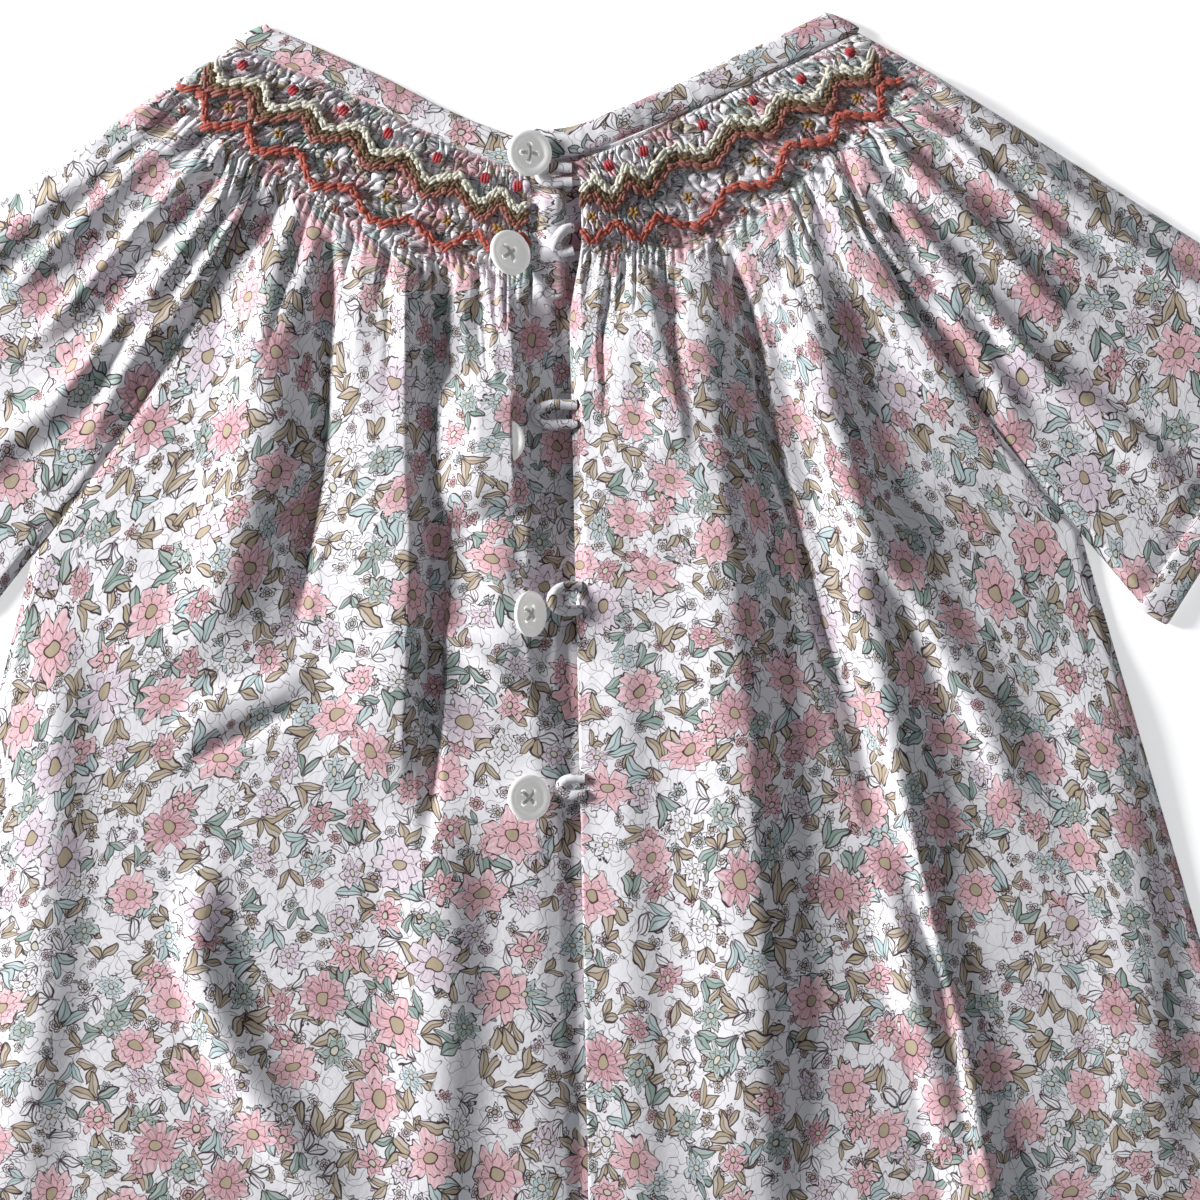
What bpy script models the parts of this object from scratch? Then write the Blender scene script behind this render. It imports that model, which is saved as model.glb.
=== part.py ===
"""Baby blouse in printed cotton lawn, laid flat with its buttoned back up: raglan sleeves, a smocked round
yoke, a bias neck band, five shell buttons and five fabric loops. Sizes and tables are in millimetres."""

import math

import bpy
from mathutils import Vector

# Layers of cloth, measured up from the surface the blouse lies on
UNDER_WALL = 1.2  # the front and the under side of the sleeves
SEAM = 0.3  # gap between neighbouring pieces
UPPER = UNDER_WALL + SEAM  # inside of the backs where they lie flat
WALL = 1.2  # wall of the backs and the upper sleeves
BAND_WALL = 1.5
TURN_WALL = (BAND_WALL + UNDER_WALL) / 2  # wall of the bands where they turn under
CORE = UNDER_WALL + SEAM / 2  # height about which the cloth turns at a fold
OVERLAY = 1.75  # rise of the right back where it lies over the left one
BAND_OVERLAY = 2.1  # the same of the neck band
OVERLAY_ENDS = (16.0, 32.0)  # x between which that rise dies out
PUFF = 1.4  # loose rise of the body below the smocking

# Neck, measured from the centre back: x to the right, d down the garment
NECK_HALF = 66.0
NECK_SLOPE = 0.45
NECK_ROUND = 8.0
BAND = 7.0  # width of the bias band
FRONT_DROP = 22.0
FRONT_CURVE = 2.2  # power of the front neck curve
CORNER_LEAD = 6.08  # run of the band's outer edge along the shoulder fold
BAND_START = -3.0  # end of the band on the right back
BAND_UNDERLAP = 13.0  # its end on the left back, under the other

# Body
LENGTH = 300.0
HEM_RISE = 7.0
HEM_HALF = 178.0
UNDERARM = (125.0, 98.0)
PLACKET = 4.3  # folded edge of the right back, right of the centre
PLACKET_AT_NECK = 3.0
UNDERLAP = -1 / 3  # where the left back ends, as a ray number
UNDERLAP_STEPS = 8
UNDERLAP_PLAIN = -6.0  # the underlap has no pleats right of this x
RAGLAN_X = 45.0  # neck point at which the raglan seam starts
FRONT_RAGLAN_X = 50.0

# Sleeve
SLEEVE_TOP = (190.0, 53.0)
SLEEVE_LOW = (146.0, 120.0)
CUFF = 8.0
SHOULDER_SMOCK = (92.0, -12.0)

# Smocking: depth at the placket, what it gains by the raglan seam and what it swells by between them
SMOCK_DEPTH = 22.5
SMOCK_GAIN = 4.5
SMOCK_SWELL = 5.0
SMOCK_TURN = 49.0  # degrees that the pleats turn from the placket to the raglan seam
PLEAT = 0.75  # height of a pleat
BACK_PLEATS = 34
SLEEVE_PLEATS = 18
COARSE = 2  # outer columns to one inner column

# Buttons and loops
BUTTON_D = 11.0
BUTTON_H = 2.2
BUTTON_SIDES = 22
HOLE_D = 1.3
HOLE_OUT = 1.9  # from the button's middle
HOLES = 4
CORD = 2.6
CORD_TURNS = 14
CORD_GAP = SEAM + 0.4  # from the folded edge to the cord's end

# Half section of a button, from the underside over the rim to the middle: share of diameter and of height
BUTTON_PROFILE = ((0.34, 0.0), (0.48, 0.4), (0.5, 0.65), (0.45, 1.0), (0.38, 0.95), (0.31, 0.62))

# Ridges of cloth: side, start x and d, end x and d, bow, width of long and of steep slope, height
FOLDS = (
    (1, 24, 34, 31, 84, 2, 9, 5, 1.6),
    (1, 33, 38, 45, 262, 4, 24, 15, 4.6),
    (1, 57, 31, 84, 204, 4, 10, 13, 3.8),
    (1, 80, 190, 99, 275, 2, 9, 16, 4.2),
    (1, 68, 84, 108, 160, 2, 6, 13, 2.6),
    (1, 67, 6, 98, 68, -3, 9, 7, 1.8),
    (1, 128, 130, 140, 250, 2, 16, 14, 2.0),
    (-1, -16, 36, -15, 132, 1, 9, 7, 2.8),
    (-1, -36, 30, -39, 150, 1, 20, 7, 3.8),
    (-1, -64, 32, -84, 120, 3, 14, 19, 3.4),
    (-1, -24, 121, 0, 141, 1, 7, 6, 1.6),
    (-1, -88, 180, -57, 250, -8, 8, 12, 3.0),
    (-1, -32, 165, -35, 268, 2, 16, 14, 2.2),
    (-1, -120, 120, -132, 250, 2, 16, 14, 2.0),
)

# Ridges across the upper sleeves, right side: start x and d, end x and d, width, height
SLEEVE_FOLDS = (
    (85, -3, 128, 34, 4.0, 1.5),
    (79, 3, 122, 46, 4.0, 1.6),
    (76, 11, 118, 62, 4.5, 1.5),
    (112, 10, 168, 52, 6.0, 1.6),
    (108, 52, 150, 88, 7.0, 1.6),
    (84, 22, 112, 72, 5.0, 1.2),
)

# Buttons: x, d, height of the middle of the underside, then degrees of lean to the right, lean up, and spin
BUTTONS = (
    (-4.9, 5.9, 7.2, 20, -4, 5),
    (-10.3, 29.6, 6.2, 33, 10, 55),
    (-12.2, 74.1, 7.6, -6, 0, 10),
    (-7.6, 115.1, 6.6, 50, 0, 40),
    (-8.4, 158.7, 5.7, 25, 2, 45),
)

# Loops: d of the middle, reach to the left, spread, height of the cord's middle at its ends and at its tip
LOOPS = (
    (10.9, 6.4, 3.4, 4.9, 4.9),
    (26.4, 3.6, 4.4, 4.6, 5.0),
    (68.0, 8.6, 4.4, 4.6, 5.4),
    (111.6, 5.6, 5.6, 4.6, 9.6),
    (156.4, 5.0, 3.8, 4.6, 4.6),
)

# Finishes: red, green, blue, roughness
CLOTH = (0.78, 0.72, 0.70, 0.85)
SHELL = (0.86, 0.87, 0.85, 0.22)


def lerp(a, b, t):
    return a + (b - a) * t


def between(p, q, t):
    return tuple(lerp(a, b, t) for a, b in zip(p, q))


def step(low, high, value):
    t = min(max((value - low) / (high - low), 0.0), 1.0)
    return t * t * (3 - 2 * t)


def curve(p, q, r, t):
    """Point at t of the parabola from p to r that q pulls."""
    return between(between(p, q, t), between(q, r, t), t)


# Outline of the neck
def neck_d(x):
    return -NECK_SLOPE * (math.hypot(x, NECK_ROUND) - NECK_ROUND)


def back_edge(x, width):
    """Point at this width from the back neck edge, led out to the shoulder fold near the corner."""
    slope = -NECK_SLOPE * x / math.hypot(x, NECK_ROUND)
    size = math.hypot(1, slope)
    lead = CORNER_LEAD * width / (BAND + SEAM) * step(50, NECK_HALF, abs(x)) * math.copysign(1, x)
    return (
        x - slope / size * width + lead / size,
        neck_d(x) + width / size + lead * slope / size,
    )


def front_edge(x, width):
    """Point at this width from the front neck edge."""
    share = abs(x) / NECK_HALF
    drop = FRONT_DROP - neck_d(NECK_HALF)
    slope = -drop * FRONT_CURVE / NECK_HALF * share ** (FRONT_CURVE - 1) * math.copysign(1, x)
    size = math.hypot(1, slope)
    d = FRONT_DROP - drop * share**FRONT_CURVE
    return (x - slope / size * width, d + width / size)


def smock_depth(out):
    """Depth of the smocking at this share of the way from the placket to the raglan seam."""
    return SMOCK_DEPTH + SMOCK_GAIN * out + SMOCK_SWELL * max(math.sin(math.pi * out), 0.0) ** 1.2


# Rays of the backs: q runs from the placket (0) to the raglan seam (1), t from the neck band to the hem.
# The shares in them crowd the rays towards the placket at the chest and let them fan out to the hem.
def back_ray(q, t):
    out = max(q, 0.0)
    start = back_edge(lerp(PLACKET_AT_NECK, RAGLAN_X, q), BAND + SEAM)
    turn = math.radians(SMOCK_TURN * out)
    depth = smock_depth(out)
    smocked = (start[0] + depth * math.sin(turn), start[1] + depth * math.cos(turn))
    if q < 0:
        leg = min(int(t), 2)
        stops = (start[1], smocked[1], UNDERARM[1], LENGTH)
        return (start[0], lerp(stops[leg], stops[leg + 1], t - leg))
    chest = (PLACKET + (UNDERARM[0] - PLACKET) * (0.25 * q + 0.75 * q**1.9), UNDERARM[1])
    hem = (PLACKET + (HEM_HALF - PLACKET) * (0.8 * q + 0.2 * q * q), LENGTH - HEM_RISE * q * q)
    pull = (lerp(smocked[0], chest[0], 0.5 - 0.2 * q), (smocked[1] + chest[1]) / 2)
    if t <= 1:
        return between(start, smocked, t)
    if t <= 2:
        return curve(smocked, pull, chest, t - 1)
    lead = (chest[0] * 1.9 - pull[0] * 0.9, chest[1] * 1.9 - pull[1] * 0.9)
    return curve(chest, between(lead, between(chest, hem, 0.5), q**6), hem, t - 2)


# Rays of the sleeves: s runs from the raglan seam (0) to the shoulder fold (1)
def sleeve_end(s, inset):
    end = between(SLEEVE_LOW, SLEEVE_TOP, s)
    along = (SLEEVE_TOP[1] - SLEEVE_LOW[1], SLEEVE_LOW[0] - SLEEVE_TOP[0])
    size = math.hypot(*along)
    return (end[0] + along[0] / size * inset, end[1] + along[1] / size * inset)


def sleeve_ray(s, t):
    start = back_edge(RAGLAN_X + (NECK_HALF - RAGLAN_X) * s, BAND + SEAM)
    smocked = between(back_ray(1, 1), SHOULDER_SMOCK, s)
    smocked = (smocked[0] + 2 * math.sin(math.pi * s), smocked[1] + 3 * math.sin(math.pi * s))
    chest = between(UNDERARM, between(SHOULDER_SMOCK, SLEEVE_TOP, 0.74), s)
    if t <= 1:
        return between(start, smocked, t)
    if t <= 2:
        bent = between(smocked, chest, 0.5)
        seam = (lerp(back_ray(1, 1)[0], UNDERARM[0], 0.3), (back_ray(1, 1)[1] + UNDERARM[1]) / 2)
        return curve(smocked, between(seam, bent, step(0, 0.6, s)), chest, t - 1)
    return between(chest, sleeve_end(s, CUFF + SEAM), t - 2)


def sleeve_under(s, t):
    """Under side of the sleeve, from the front raglan seam (0) to the shoulder fold (1)."""
    fold = sleeve_ray(1, t)
    neck = front_edge(FRONT_RAGLAN_X, BAND + SEAM)
    seam = between(neck, UNDERARM, t / 2) if t <= 2 else between(UNDERARM, sleeve_end(0, CUFF + SEAM), t - 2)
    flat = between(seam, fold, s)
    if t >= 1:
        return flat
    rim = front_edge(lerp(FRONT_RAGLAN_X, NECK_HALF, s), BAND + SEAM)
    straight = between(neck, sleeve_ray(1, 0), s)
    held = (1 - t) ** 2
    return (flat[0] + (rim[0] - straight[0]) * held, flat[1] + (rim[1] - straight[1]) * held)


def seam_shift(point, amount):
    """The point moved this far across the raglan seam, which runs out and down by 3 to 4."""
    return (point[0] + 0.8 * amount, point[1] - 0.6 * amount)


# Heights
def ridge(x, d, fold):
    _, ax, ad, bx, bd, bow, rise, fall, height = fold
    length = math.hypot(bx - ax, bd - ad)
    ux, ud = (bx - ax) / length, (bd - ad) / length
    along = ((x - ax) * ux + (d - ad) * ud) / length
    if not -0.12 < along < 1.12:
        return 0.0
    across = (x - ax) * ud - (d - ad) * ux - bow * 4 * along * (1 - along)
    width = rise if across < 0 else fall
    if abs(across) >= width:
        return 0.0
    ends = step(-0.12, 0.15, along) * (1 - step(0.8, 1.12, along))
    return height * ends * (0.5 + 0.5 * math.cos(math.pi * across / width))


def sleeve_ridge(x, d, fold):
    ax, ad, bx, bd, width, height = fold
    return ridge(x, d, (1, ax, ad, bx, bd, 0, width, width, height))


def back_height(side, x, d, q, t):
    """Rise of a back's cloth over its flat inside. The underlap, which has q below 0, stays flat."""
    if q < 0:
        return 0.0
    total = sum(ridge(x, d, fold) for fold in FOLDS if fold[0] == side)
    puffed = step(1.0, 1.35, t) * (1 - step(2.5, 2.9, t)) * step(0.02, 0.16, q) * (1 - step(0.75, 0.95, q))
    total += PUFF * puffed
    fade = step(0.85, 1.15, t) * (1 - step(2.7, 2.98, t)) * (1 - step(0.9, 1.0, q))
    by_placket = step(PLACKET, PLACKET + 14, x) if side > 0 else 1 - step(-6.0, -1.0, x)
    return total * fade * by_placket


def sleeve_height(x, d, s, t):
    total = sum(sleeve_ridge(abs(x), d, fold) for fold in SLEEVE_FOLDS)
    fade = step(0.85, 1.15, t) * (1 - step(2.7, 2.98, t)) * step(0, 0.15, s) * (1 - step(0.85, 0.98, s))
    return (total + 0.8) * fade


def pleat_height(t, column):
    """Every second column is a pleat, which dies out below the smocking."""
    return PLEAT * (1 - step(0.95, 1.3, t)) if column % 2 else 0.0


def overlay(side, x, rise):
    """The right back lies over the left one at the centre."""
    return rise * (1 - step(*OVERLAY_ENDS, x)) if side > 0 else 0.0


# Meshes
def paint(name, finish):
    material = bpy.data.materials.new(name)
    material.use_nodes = True
    shader = material.node_tree.nodes["Principled BSDF"]
    shader.inputs["Base Color"].default_value = (*finish[:3], 1)
    shader.inputs["Roughness"].default_value = finish[3]
    shader.inputs["Metallic"].default_value = 0.0
    return material


def volume(points, faces):
    """Six times the volume, which is negative when the faces point inwards."""
    total = 0.0
    for face in faces:
        a = Vector(points[face[0]])
        for second, third in zip(face[1:], face[2:]):
            total += a.dot(Vector(points[second]).cross(Vector(points[third])))
    return total


def placed(x, d, z):
    """Metres from millimetres, with d running down the garment."""
    return (x / 1000, -d / 1000, z / 1000)


def add(name, data, parent):
    obj = bpy.data.objects.new(name, data)
    obj.parent = parent
    bpy.context.scene.collection.objects.link(obj)
    return obj


def make(name, points, faces, finish, parent):
    """Object from points (x, d, z), with its faces turned outwards."""
    points = [placed(*p) for p in points]
    if volume(points, faces) < 0:
        faces = [face[::-1] for face in faces]
    mesh = bpy.data.meshes.new(name)
    mesh.from_pydata(points, [], faces)
    mesh.materials.append(paint(name, finish))
    mesh.shade_smooth()
    mesh.set_sharp_from_angle(angle=math.radians(40))
    return add(name, mesh, parent)


def slab(name, top, under, links, parent):
    """Wall between two grids with the same rows; links gives the top column over each column of under."""
    rows, wide, narrow = len(top), len(top[0]), len(under[0])
    points = [p for row in top for p in row] + [p for row in under for p in row]
    base = rows * wide
    faces = []
    for r in range(rows - 1):
        for c in range(wide - 1):
            a = r * wide + c
            faces.append((a, a + 1, a + wide + 1, a + wide))
        for c in range(narrow - 1):
            a = base + r * narrow + c
            faces.append((a, a + narrow, a + narrow + 1, a + 1))
        for c, k in ((0, 0), (wide - 1, narrow - 1)):
            edge = (r * wide + c, (r + 1) * wide + c, base + (r + 1) * narrow + k, base + r * narrow + k)
            faces.append(edge if c == 0 else edge[::-1])
    for r in (0, rows - 1):
        for k in range(narrow - 1):
            upper = [r * wide + c for c in range(links[k], links[k + 1] + 1)]
            rim = tuple(upper[::-1] + [base + r * narrow + k, base + r * narrow + k + 1])
            faces.append(rim if r == 0 else rim[::-1])
    return make(name, points, faces, CLOTH, parent)


def inner_heights(heights):
    """For each inner column the least height of it and of the outer columns beside it."""
    return [min(heights[max(c - 1, 0) : c + 2]) for c in range(0, len(heights), COARSE)]


def sweep(name, sections, closed, parent):
    """Strip through sections of equal point counts."""
    count = len(sections[0])
    points = [p for section in sections for p in section]
    pairs = [(i, i + 1) for i in range(len(sections) - 1)] + ([(len(sections) - 1, 0)] if closed else [])
    faces = [
        (i * count + k, i * count + (k + 1) % count, j * count + (k + 1) % count, j * count + k)
        for i, j in pairs
        for k in range(count)
    ]
    if not closed:
        faces.append(tuple(range(count))[::-1])
        faces.append(tuple(range((len(sections) - 1) * count, len(sections) * count)))
    return make(name, points, faces, CLOTH, parent)


# Row positions: pleats need few rows, folds more
BACK_ROWS = (0, 0.25, 0.5, 0.75, 1, 1.12, 1.25, 1.45, 1.65, 1.85, 2, 2.15, 2.35, 2.55, 2.75, 2.9, 3)
SLEEVE_ROWS = (0, 0.33, 0.66, 1, 1.2, 1.45, 1.72, 2, 2.3, 2.6, 2.85, 3)


def ray_numbers(side):
    """The rays of a back's columns. The left back begins with its underlap."""
    pleated = [c / (2 * BACK_PLEATS) for c in range(2 * BACK_PLEATS + 1)]
    if side > 0:
        return pleated
    extra = UNDERLAP_STEPS * COARSE
    return [UNDERLAP * (1 - c / extra) for c in range(extra)] + pleated


def build_back(name, side, parent):
    rays = ray_numbers(side)
    last = len(rays) - 1
    top, under = [], []
    for t in BACK_ROWS:
        line, heights = [], []
        for c, q in enumerate(rays):
            x, d = back_ray(q, t)
            if c == last and t <= 2:
                x, d = seam_shift((x, d), -SEAM / 2)
            x *= side
            inside = UPPER + back_height(side, x, d, q, t) + overlay(side, x, OVERLAY)
            pleated = 0 < c < last and (side > 0 or x < UNDERLAP_PLAIN)
            line.append((x, d, inside + WALL + (pleat_height(t, c) if pleated else 0.0)))
            heights.append(inside)
        top.append(line)
        under.append([(*line[k * COARSE][:2], z) for k, z in enumerate(inner_heights(heights))])
    return slab(name, top, under, range(0, last + 1, COARSE), parent)


def turned(point, side, angle, reach):
    """Point at this angle round the shoulder fold, from the upper side (90) to the under side (-90)."""
    run = (SLEEVE_TOP[0] - SHOULDER_SMOCK[0], SLEEVE_TOP[1] - SHOULDER_SMOCK[1])
    size = math.hypot(*run)
    out = math.cos(math.radians(angle)) * reach
    up = math.sin(math.radians(angle)) * reach
    return (point[0] + run[1] / size * out * side, point[1] - run[0] / size * out, CORE + up)


def build_sleeve(name, side, parent):
    """Upper side with its pleats, round the shoulder fold, and the plain under side."""
    columns = 2 * SLEEVE_PLEATS
    below = 4
    top, under = [], []
    for t in SLEEVE_ROWS:
        line, heights = [], []
        for c in range(columns):
            s = c / columns
            x, d = sleeve_ray(s, t)
            if c == 0 and t <= 2:
                x, d = seam_shift((x, d), SEAM / 2)
            inside = UPPER + sleeve_height(x, d, s, t)
            line.append((x * side, d, inside + WALL + (pleat_height(t, c) if c else 0.0)))
            heights.append(inside)
        inner = [(*line[k * COARSE][:2], z) for k, z in enumerate(inner_heights(heights))]
        fold = sleeve_ray(1, t)
        fold = (fold[0] * side, fold[1])
        outer_arc = [turned(fold, side, angle, SEAM / 2 + WALL) for angle in (90, 45, 0, -45, -90)]
        inner_arc = [turned(fold, side, angle, SEAM / 2) for angle in (90, -90)]
        flat = []
        for c in range(below - 1, -1, -1):
            x, d = sleeve_under(c / below, t)
            if c == 0 and t <= 2:
                x, d = seam_shift((x, d), SEAM / 2)
            flat.append((x * side, d))
        top.append(line + outer_arc + [(*p, 0.0) for p in flat])
        under.append(inner + inner_arc + [(*p, UNDER_WALL) for p in flat])
    links = [*range(0, columns + 1, COARSE), *range(columns + 4, columns + 5 + below)]
    return slab(name, top, under, links, parent)


def build_front(parent):
    """Flat plate under the backs, from the front neck band to the hem."""
    across, top, under = 24, [], []
    for t in (0, 0.5, 1, 1.25, 1.5, 1.75, 2):
        line = []
        for c in range(across + 1):
            share = 2 * c / across - 1
            neck = front_edge(FRONT_RAGLAN_X * share, BAND + SEAM)
            chest = (UNDERARM[0] * share, UNDERARM[1])
            hem = (HEM_HALF * share, LENGTH - HEM_RISE * share * share)
            x, d = between(neck, chest, t) if t <= 1 else between(chest, hem, t - 1)
            if c in (0, across) and t <= 1:
                x, d = seam_shift((abs(x), d), -SEAM / 2)
                x = math.copysign(x, share)
            line.append((x, d))
        top.append([(*p, UNDER_WALL) for p in line])
        under.append([(*p, 0.0) for p in line[::2]])
    return slab("front", top, under, range(0, across + 1, 2), parent)


# Cross-section of the neck band and the cuffs: share of the width, share of the wall
RIM = ((0.0, 0.0), (1.0, 0.0), (1.0, 0.65), (0.82, 1.0), (0.18, 1.0), (0.0, 0.65))


def band_section(inner, outer, side, angle, wall, lift=0.0):
    section = []
    for share, up in RIM:
        x, d, z = turned(between(inner, outer, share), side, angle, SEAM / 2 + up * wall)
        section.append((x, d, z + lift))
    return section


def back_arm(x, side):
    lift = overlay(side, x, BAND_OVERLAY)
    return band_section((x, neck_d(x)), back_edge(x, BAND), side, 90, BAND_WALL, lift)


def neck_corner(side, angle):
    inner, outer = (NECK_HALF * side, neck_d(NECK_HALF)), back_edge(NECK_HALF * side, BAND)
    return band_section(inner, outer, side, angle, TURN_WALL)


def build_neck_band(parent):
    """From its right end on the back round the shoulder, along the front and back to its left end."""
    arm_steps, front_steps = 23, 30
    sections = [back_arm(lerp(BAND_START, NECK_HALF, k / arm_steps), 1) for k in range(arm_steps + 1)]
    sections += [neck_corner(1, angle) for angle in (55, 15, -15, -55)]
    for k in range(front_steps + 1):
        x = lerp(NECK_HALF, -NECK_HALF, k / front_steps)
        sections.append(band_section(front_edge(x, 0), front_edge(x, BAND), 1, -90, UNDER_WALL))
    sections += [neck_corner(-1, angle) for angle in (-55, -15, 15, 55)]
    sections += [back_arm(lerp(-NECK_HALF, BAND_UNDERLAP, k / arm_steps), -1) for k in range(arm_steps + 1)]
    return sweep("neck_band", sections, False, parent)


def build_cuff(name, side, parent):
    """Flattened tube round the sleeve end."""

    def at(s, angle, wall):
        inner, outer = sleeve_end(s, CUFF), sleeve_end(s, 0)
        return band_section((inner[0] * side, inner[1]), (outer[0] * side, outer[1]), side, angle, wall)

    across = 6
    sections = [at(k / across, 90, BAND_WALL) for k in range(across + 1)]
    sections += [at(1, angle, TURN_WALL) for angle in (45, 0, -45)]
    sections += [at(1 - k / across, -90, UNDER_WALL) for k in range(across + 1)]
    sections += [at(0, angle, TURN_WALL) for angle in (225, 180, 135)]
    return sweep(name, sections, True, parent)


def ring(radius, sides, x=0.0, d=0.0, z=0.0):
    angles = [2 * math.pi * k / sides for k in range(sides)]
    return [(x + radius * math.cos(a), d + radius * math.sin(a), z) for a in angles]


def stacked(name, rings, finish, parent):
    """Closed solid through rings of equal point counts."""
    sides = len(rings[0])
    faces = [
        (i * sides + k, i * sides + (k + 1) % sides, (i + 1) * sides + (k + 1) % sides, (i + 1) * sides + k)
        for i in range(len(rings) - 1)
        for k in range(sides)
    ]
    faces.append(tuple(range(sides))[::-1])
    faces.append(tuple(range((len(rings) - 1) * sides, len(rings) * sides)))
    return make(name, [p for r in rings for p in r], faces, finish, parent)


def build_button(name, x, d, base, lean_x, lean_d, spin, parent):
    """Dished disc with a rim and four through holes, about the middle of its underside."""
    profile = [(share * BUTTON_D, up * BUTTON_H) for share, up in BUTTON_PROFILE]
    disc = stacked(name, [ring(r, BUTTON_SIDES, z=z) for r, z in profile], SHELL, parent)
    disc.location = placed(x, d, base)
    disc.rotation_mode = "ZYX"
    disc.rotation_euler = (-math.radians(lean_d), math.radians(lean_x), -math.radians(spin))
    for k in range(HOLES):
        a = 2 * math.pi * k / HOLES
        middle = (HOLE_OUT * math.cos(a), HOLE_OUT * math.sin(a))
        ends = [ring(HOLE_D / 2, 8, *middle, z) for z in (-1.0, BUTTON_H + 1.0)]
        cutter = stacked(f"{name}_hole_{k}", ends, SHELL, disc)
        cutter.hide_render = True
        cutter.display_type = "WIRE"
        cut = disc.modifiers.new(f"hole_{k}", "BOOLEAN")
        cut.operation = "DIFFERENCE"
        cut.solver = "EXACT"
        cut.object = cutter
    return disc


def build_loop(name, d, reach, spread, root, tip, parent):
    """Cord from the folded edge of the right back, out over the left back and round."""
    cord = bpy.data.curves.new(name, "CURVE")
    cord.dimensions = "3D"
    cord.bevel_depth = CORD / 2000
    cord.bevel_resolution = 2
    cord.use_fill_caps = True
    cord.materials.append(paint(name, CLOTH))
    line = cord.splines.new("POLY")
    line.points.add(CORD_TURNS)
    for k, point in enumerate(line.points):
        a = math.pi * k / CORD_TURNS
        out = reach * max(math.sin(a), 0.0) ** 0.8
        across = spread / 2 * (1 + 0.25 * math.sin(a)) * math.cos(a)
        point.co = (*placed(PLACKET - CORD_GAP - out, d - across, lerp(root, tip, math.sin(a))), 1)
    return add(name, cord, parent)


def centre_on_floor(blouse):
    """Sets the middle of the footprint on the origin and the lowest cloth on the floor."""
    bpy.context.view_layer.update()
    meshes = [child for child in blouse.children if child.type == "MESH"]
    points = [child.matrix_world @ vertex.co for child in meshes for vertex in child.data.vertices]
    low = [min(p[i] for p in points) for i in range(3)]
    high = [max(p[i] for p in points) for i in range(3)]
    blouse.location = (-(low[0] + high[0]) / 2, -(low[1] + high[1]) / 2, -low[2])


def main():
    for obj in list(bpy.data.objects):
        bpy.data.objects.remove(obj)
    blouse = add("blouse", None, None)
    build_front(blouse)
    build_back("back_left", -1, blouse)
    build_back("back_right", 1, blouse)
    build_sleeve("sleeve_left", -1, blouse)
    build_sleeve("sleeve_right", 1, blouse)
    build_neck_band(blouse)
    build_cuff("cuff_left", -1, blouse)
    build_cuff("cuff_right", 1, blouse)
    for k, row in enumerate(BUTTONS, 1):
        build_button(f"button_{k}", *row, blouse)
    for k, row in enumerate(LOOPS, 1):
        build_loop(f"loop_{k}", *row, blouse)
    centre_on_floor(blouse)


main()
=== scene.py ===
"""Looks of the baby blouse: printed cotton lawn in folds, smocking with its embroidery, shell buttons, fabric
loops, neck band and cuffs, under soft studio light. Sizes are in millimetres until placed."""

import math

import bmesh
import bpy
import numpy as np
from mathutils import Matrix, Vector

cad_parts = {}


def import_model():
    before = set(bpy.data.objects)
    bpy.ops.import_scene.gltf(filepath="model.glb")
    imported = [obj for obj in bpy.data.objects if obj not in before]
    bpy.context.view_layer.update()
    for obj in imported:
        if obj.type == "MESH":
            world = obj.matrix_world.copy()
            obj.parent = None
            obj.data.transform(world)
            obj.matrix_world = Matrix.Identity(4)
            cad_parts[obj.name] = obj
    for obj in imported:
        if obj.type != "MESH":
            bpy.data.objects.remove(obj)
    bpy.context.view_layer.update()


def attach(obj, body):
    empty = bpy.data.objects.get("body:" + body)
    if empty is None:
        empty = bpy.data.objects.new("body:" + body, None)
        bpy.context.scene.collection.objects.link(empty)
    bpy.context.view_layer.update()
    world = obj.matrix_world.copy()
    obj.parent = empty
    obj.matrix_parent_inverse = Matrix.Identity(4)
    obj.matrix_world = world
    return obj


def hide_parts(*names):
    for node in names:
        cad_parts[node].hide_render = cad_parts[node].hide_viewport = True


# Garment sizes, as in the solids: x to the right of the centre back, d down from the neck
CENTRE_D = 136.43
NECK_HALF = 66.0
NECK_SLOPE = 0.45
NECK_ROUND = 8.0
BAND = 7.15
FRONT_DROP = 22.0
FRONT_CURVE = 2.2
LENGTH = 300.0
HEM_RISE = 7.0
HEM_HALF = 178.0
UNDERARM = (125.0, 98.0)
PLACKET = 4.3
UNDERLAP = -1 / 3
RAGLAN_X = 45.0
FRONT_RAGLAN_X = 50.0
SLEEVE_TOP = (190.0, 53.0)
SLEEVE_LOW = (146.0, 120.0)
CUFF = 8.0
SHOULDER_SMOCK = (92.0, -12.0)
SMOCK_DEPTH = 22.5
SMOCK_GAIN = 4.5
SMOCK_SWELL = 5.0
SMOCK_TURN = 49.0
SHOULDER_DEPTH = 19.0
LEFT_DROP = 2.6  # the left edge of the opening lies this much lower than the right one
EDGE_BULGE = 3.4
LAP_LIFT = 2.2
FLAT_Z = 2.3  # height of a back where it lies flat
LEAST_Z = 0.9
SEAM_Z = 1.25
HEM_Z = 1.3
HEM_DEEP = 12
STITCH_RINGS = 7

# The fold of the left back over the third button: middle d, top, where its steep side starts and ends
COVER_D = 74.0
COVER_TOP = 11.0
COVER_START = -10.2
COVER_END = (2.0, -8.6)

# Pleats to one repeat of the embroidery, and where the repeats start along the row of red knots
REPEAT_PLEATS = 8
STITCHES = 1.35  # stitches of a row to each pleat
REPEATS = {
    1: (
        (4.3, -0.85), (13.6, 0.0), (22.5, 1.0), (36.7, 2.0),
        (48.5, 3.0), (59.6, 4.0), (71.5, 5.0), (84.0, 6.0),
    ),
    -1: (
        (-14.0, -2.7), (0.0, -0.8), (7.4, 0.0), (15.0, 1.0), (26.3, 2.0),
        (37.8, 3.0), (48.1, 4.0), (59.4, 5.0), (71.5, 6.0), (84.0, 7.0),
    ),
}

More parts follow.
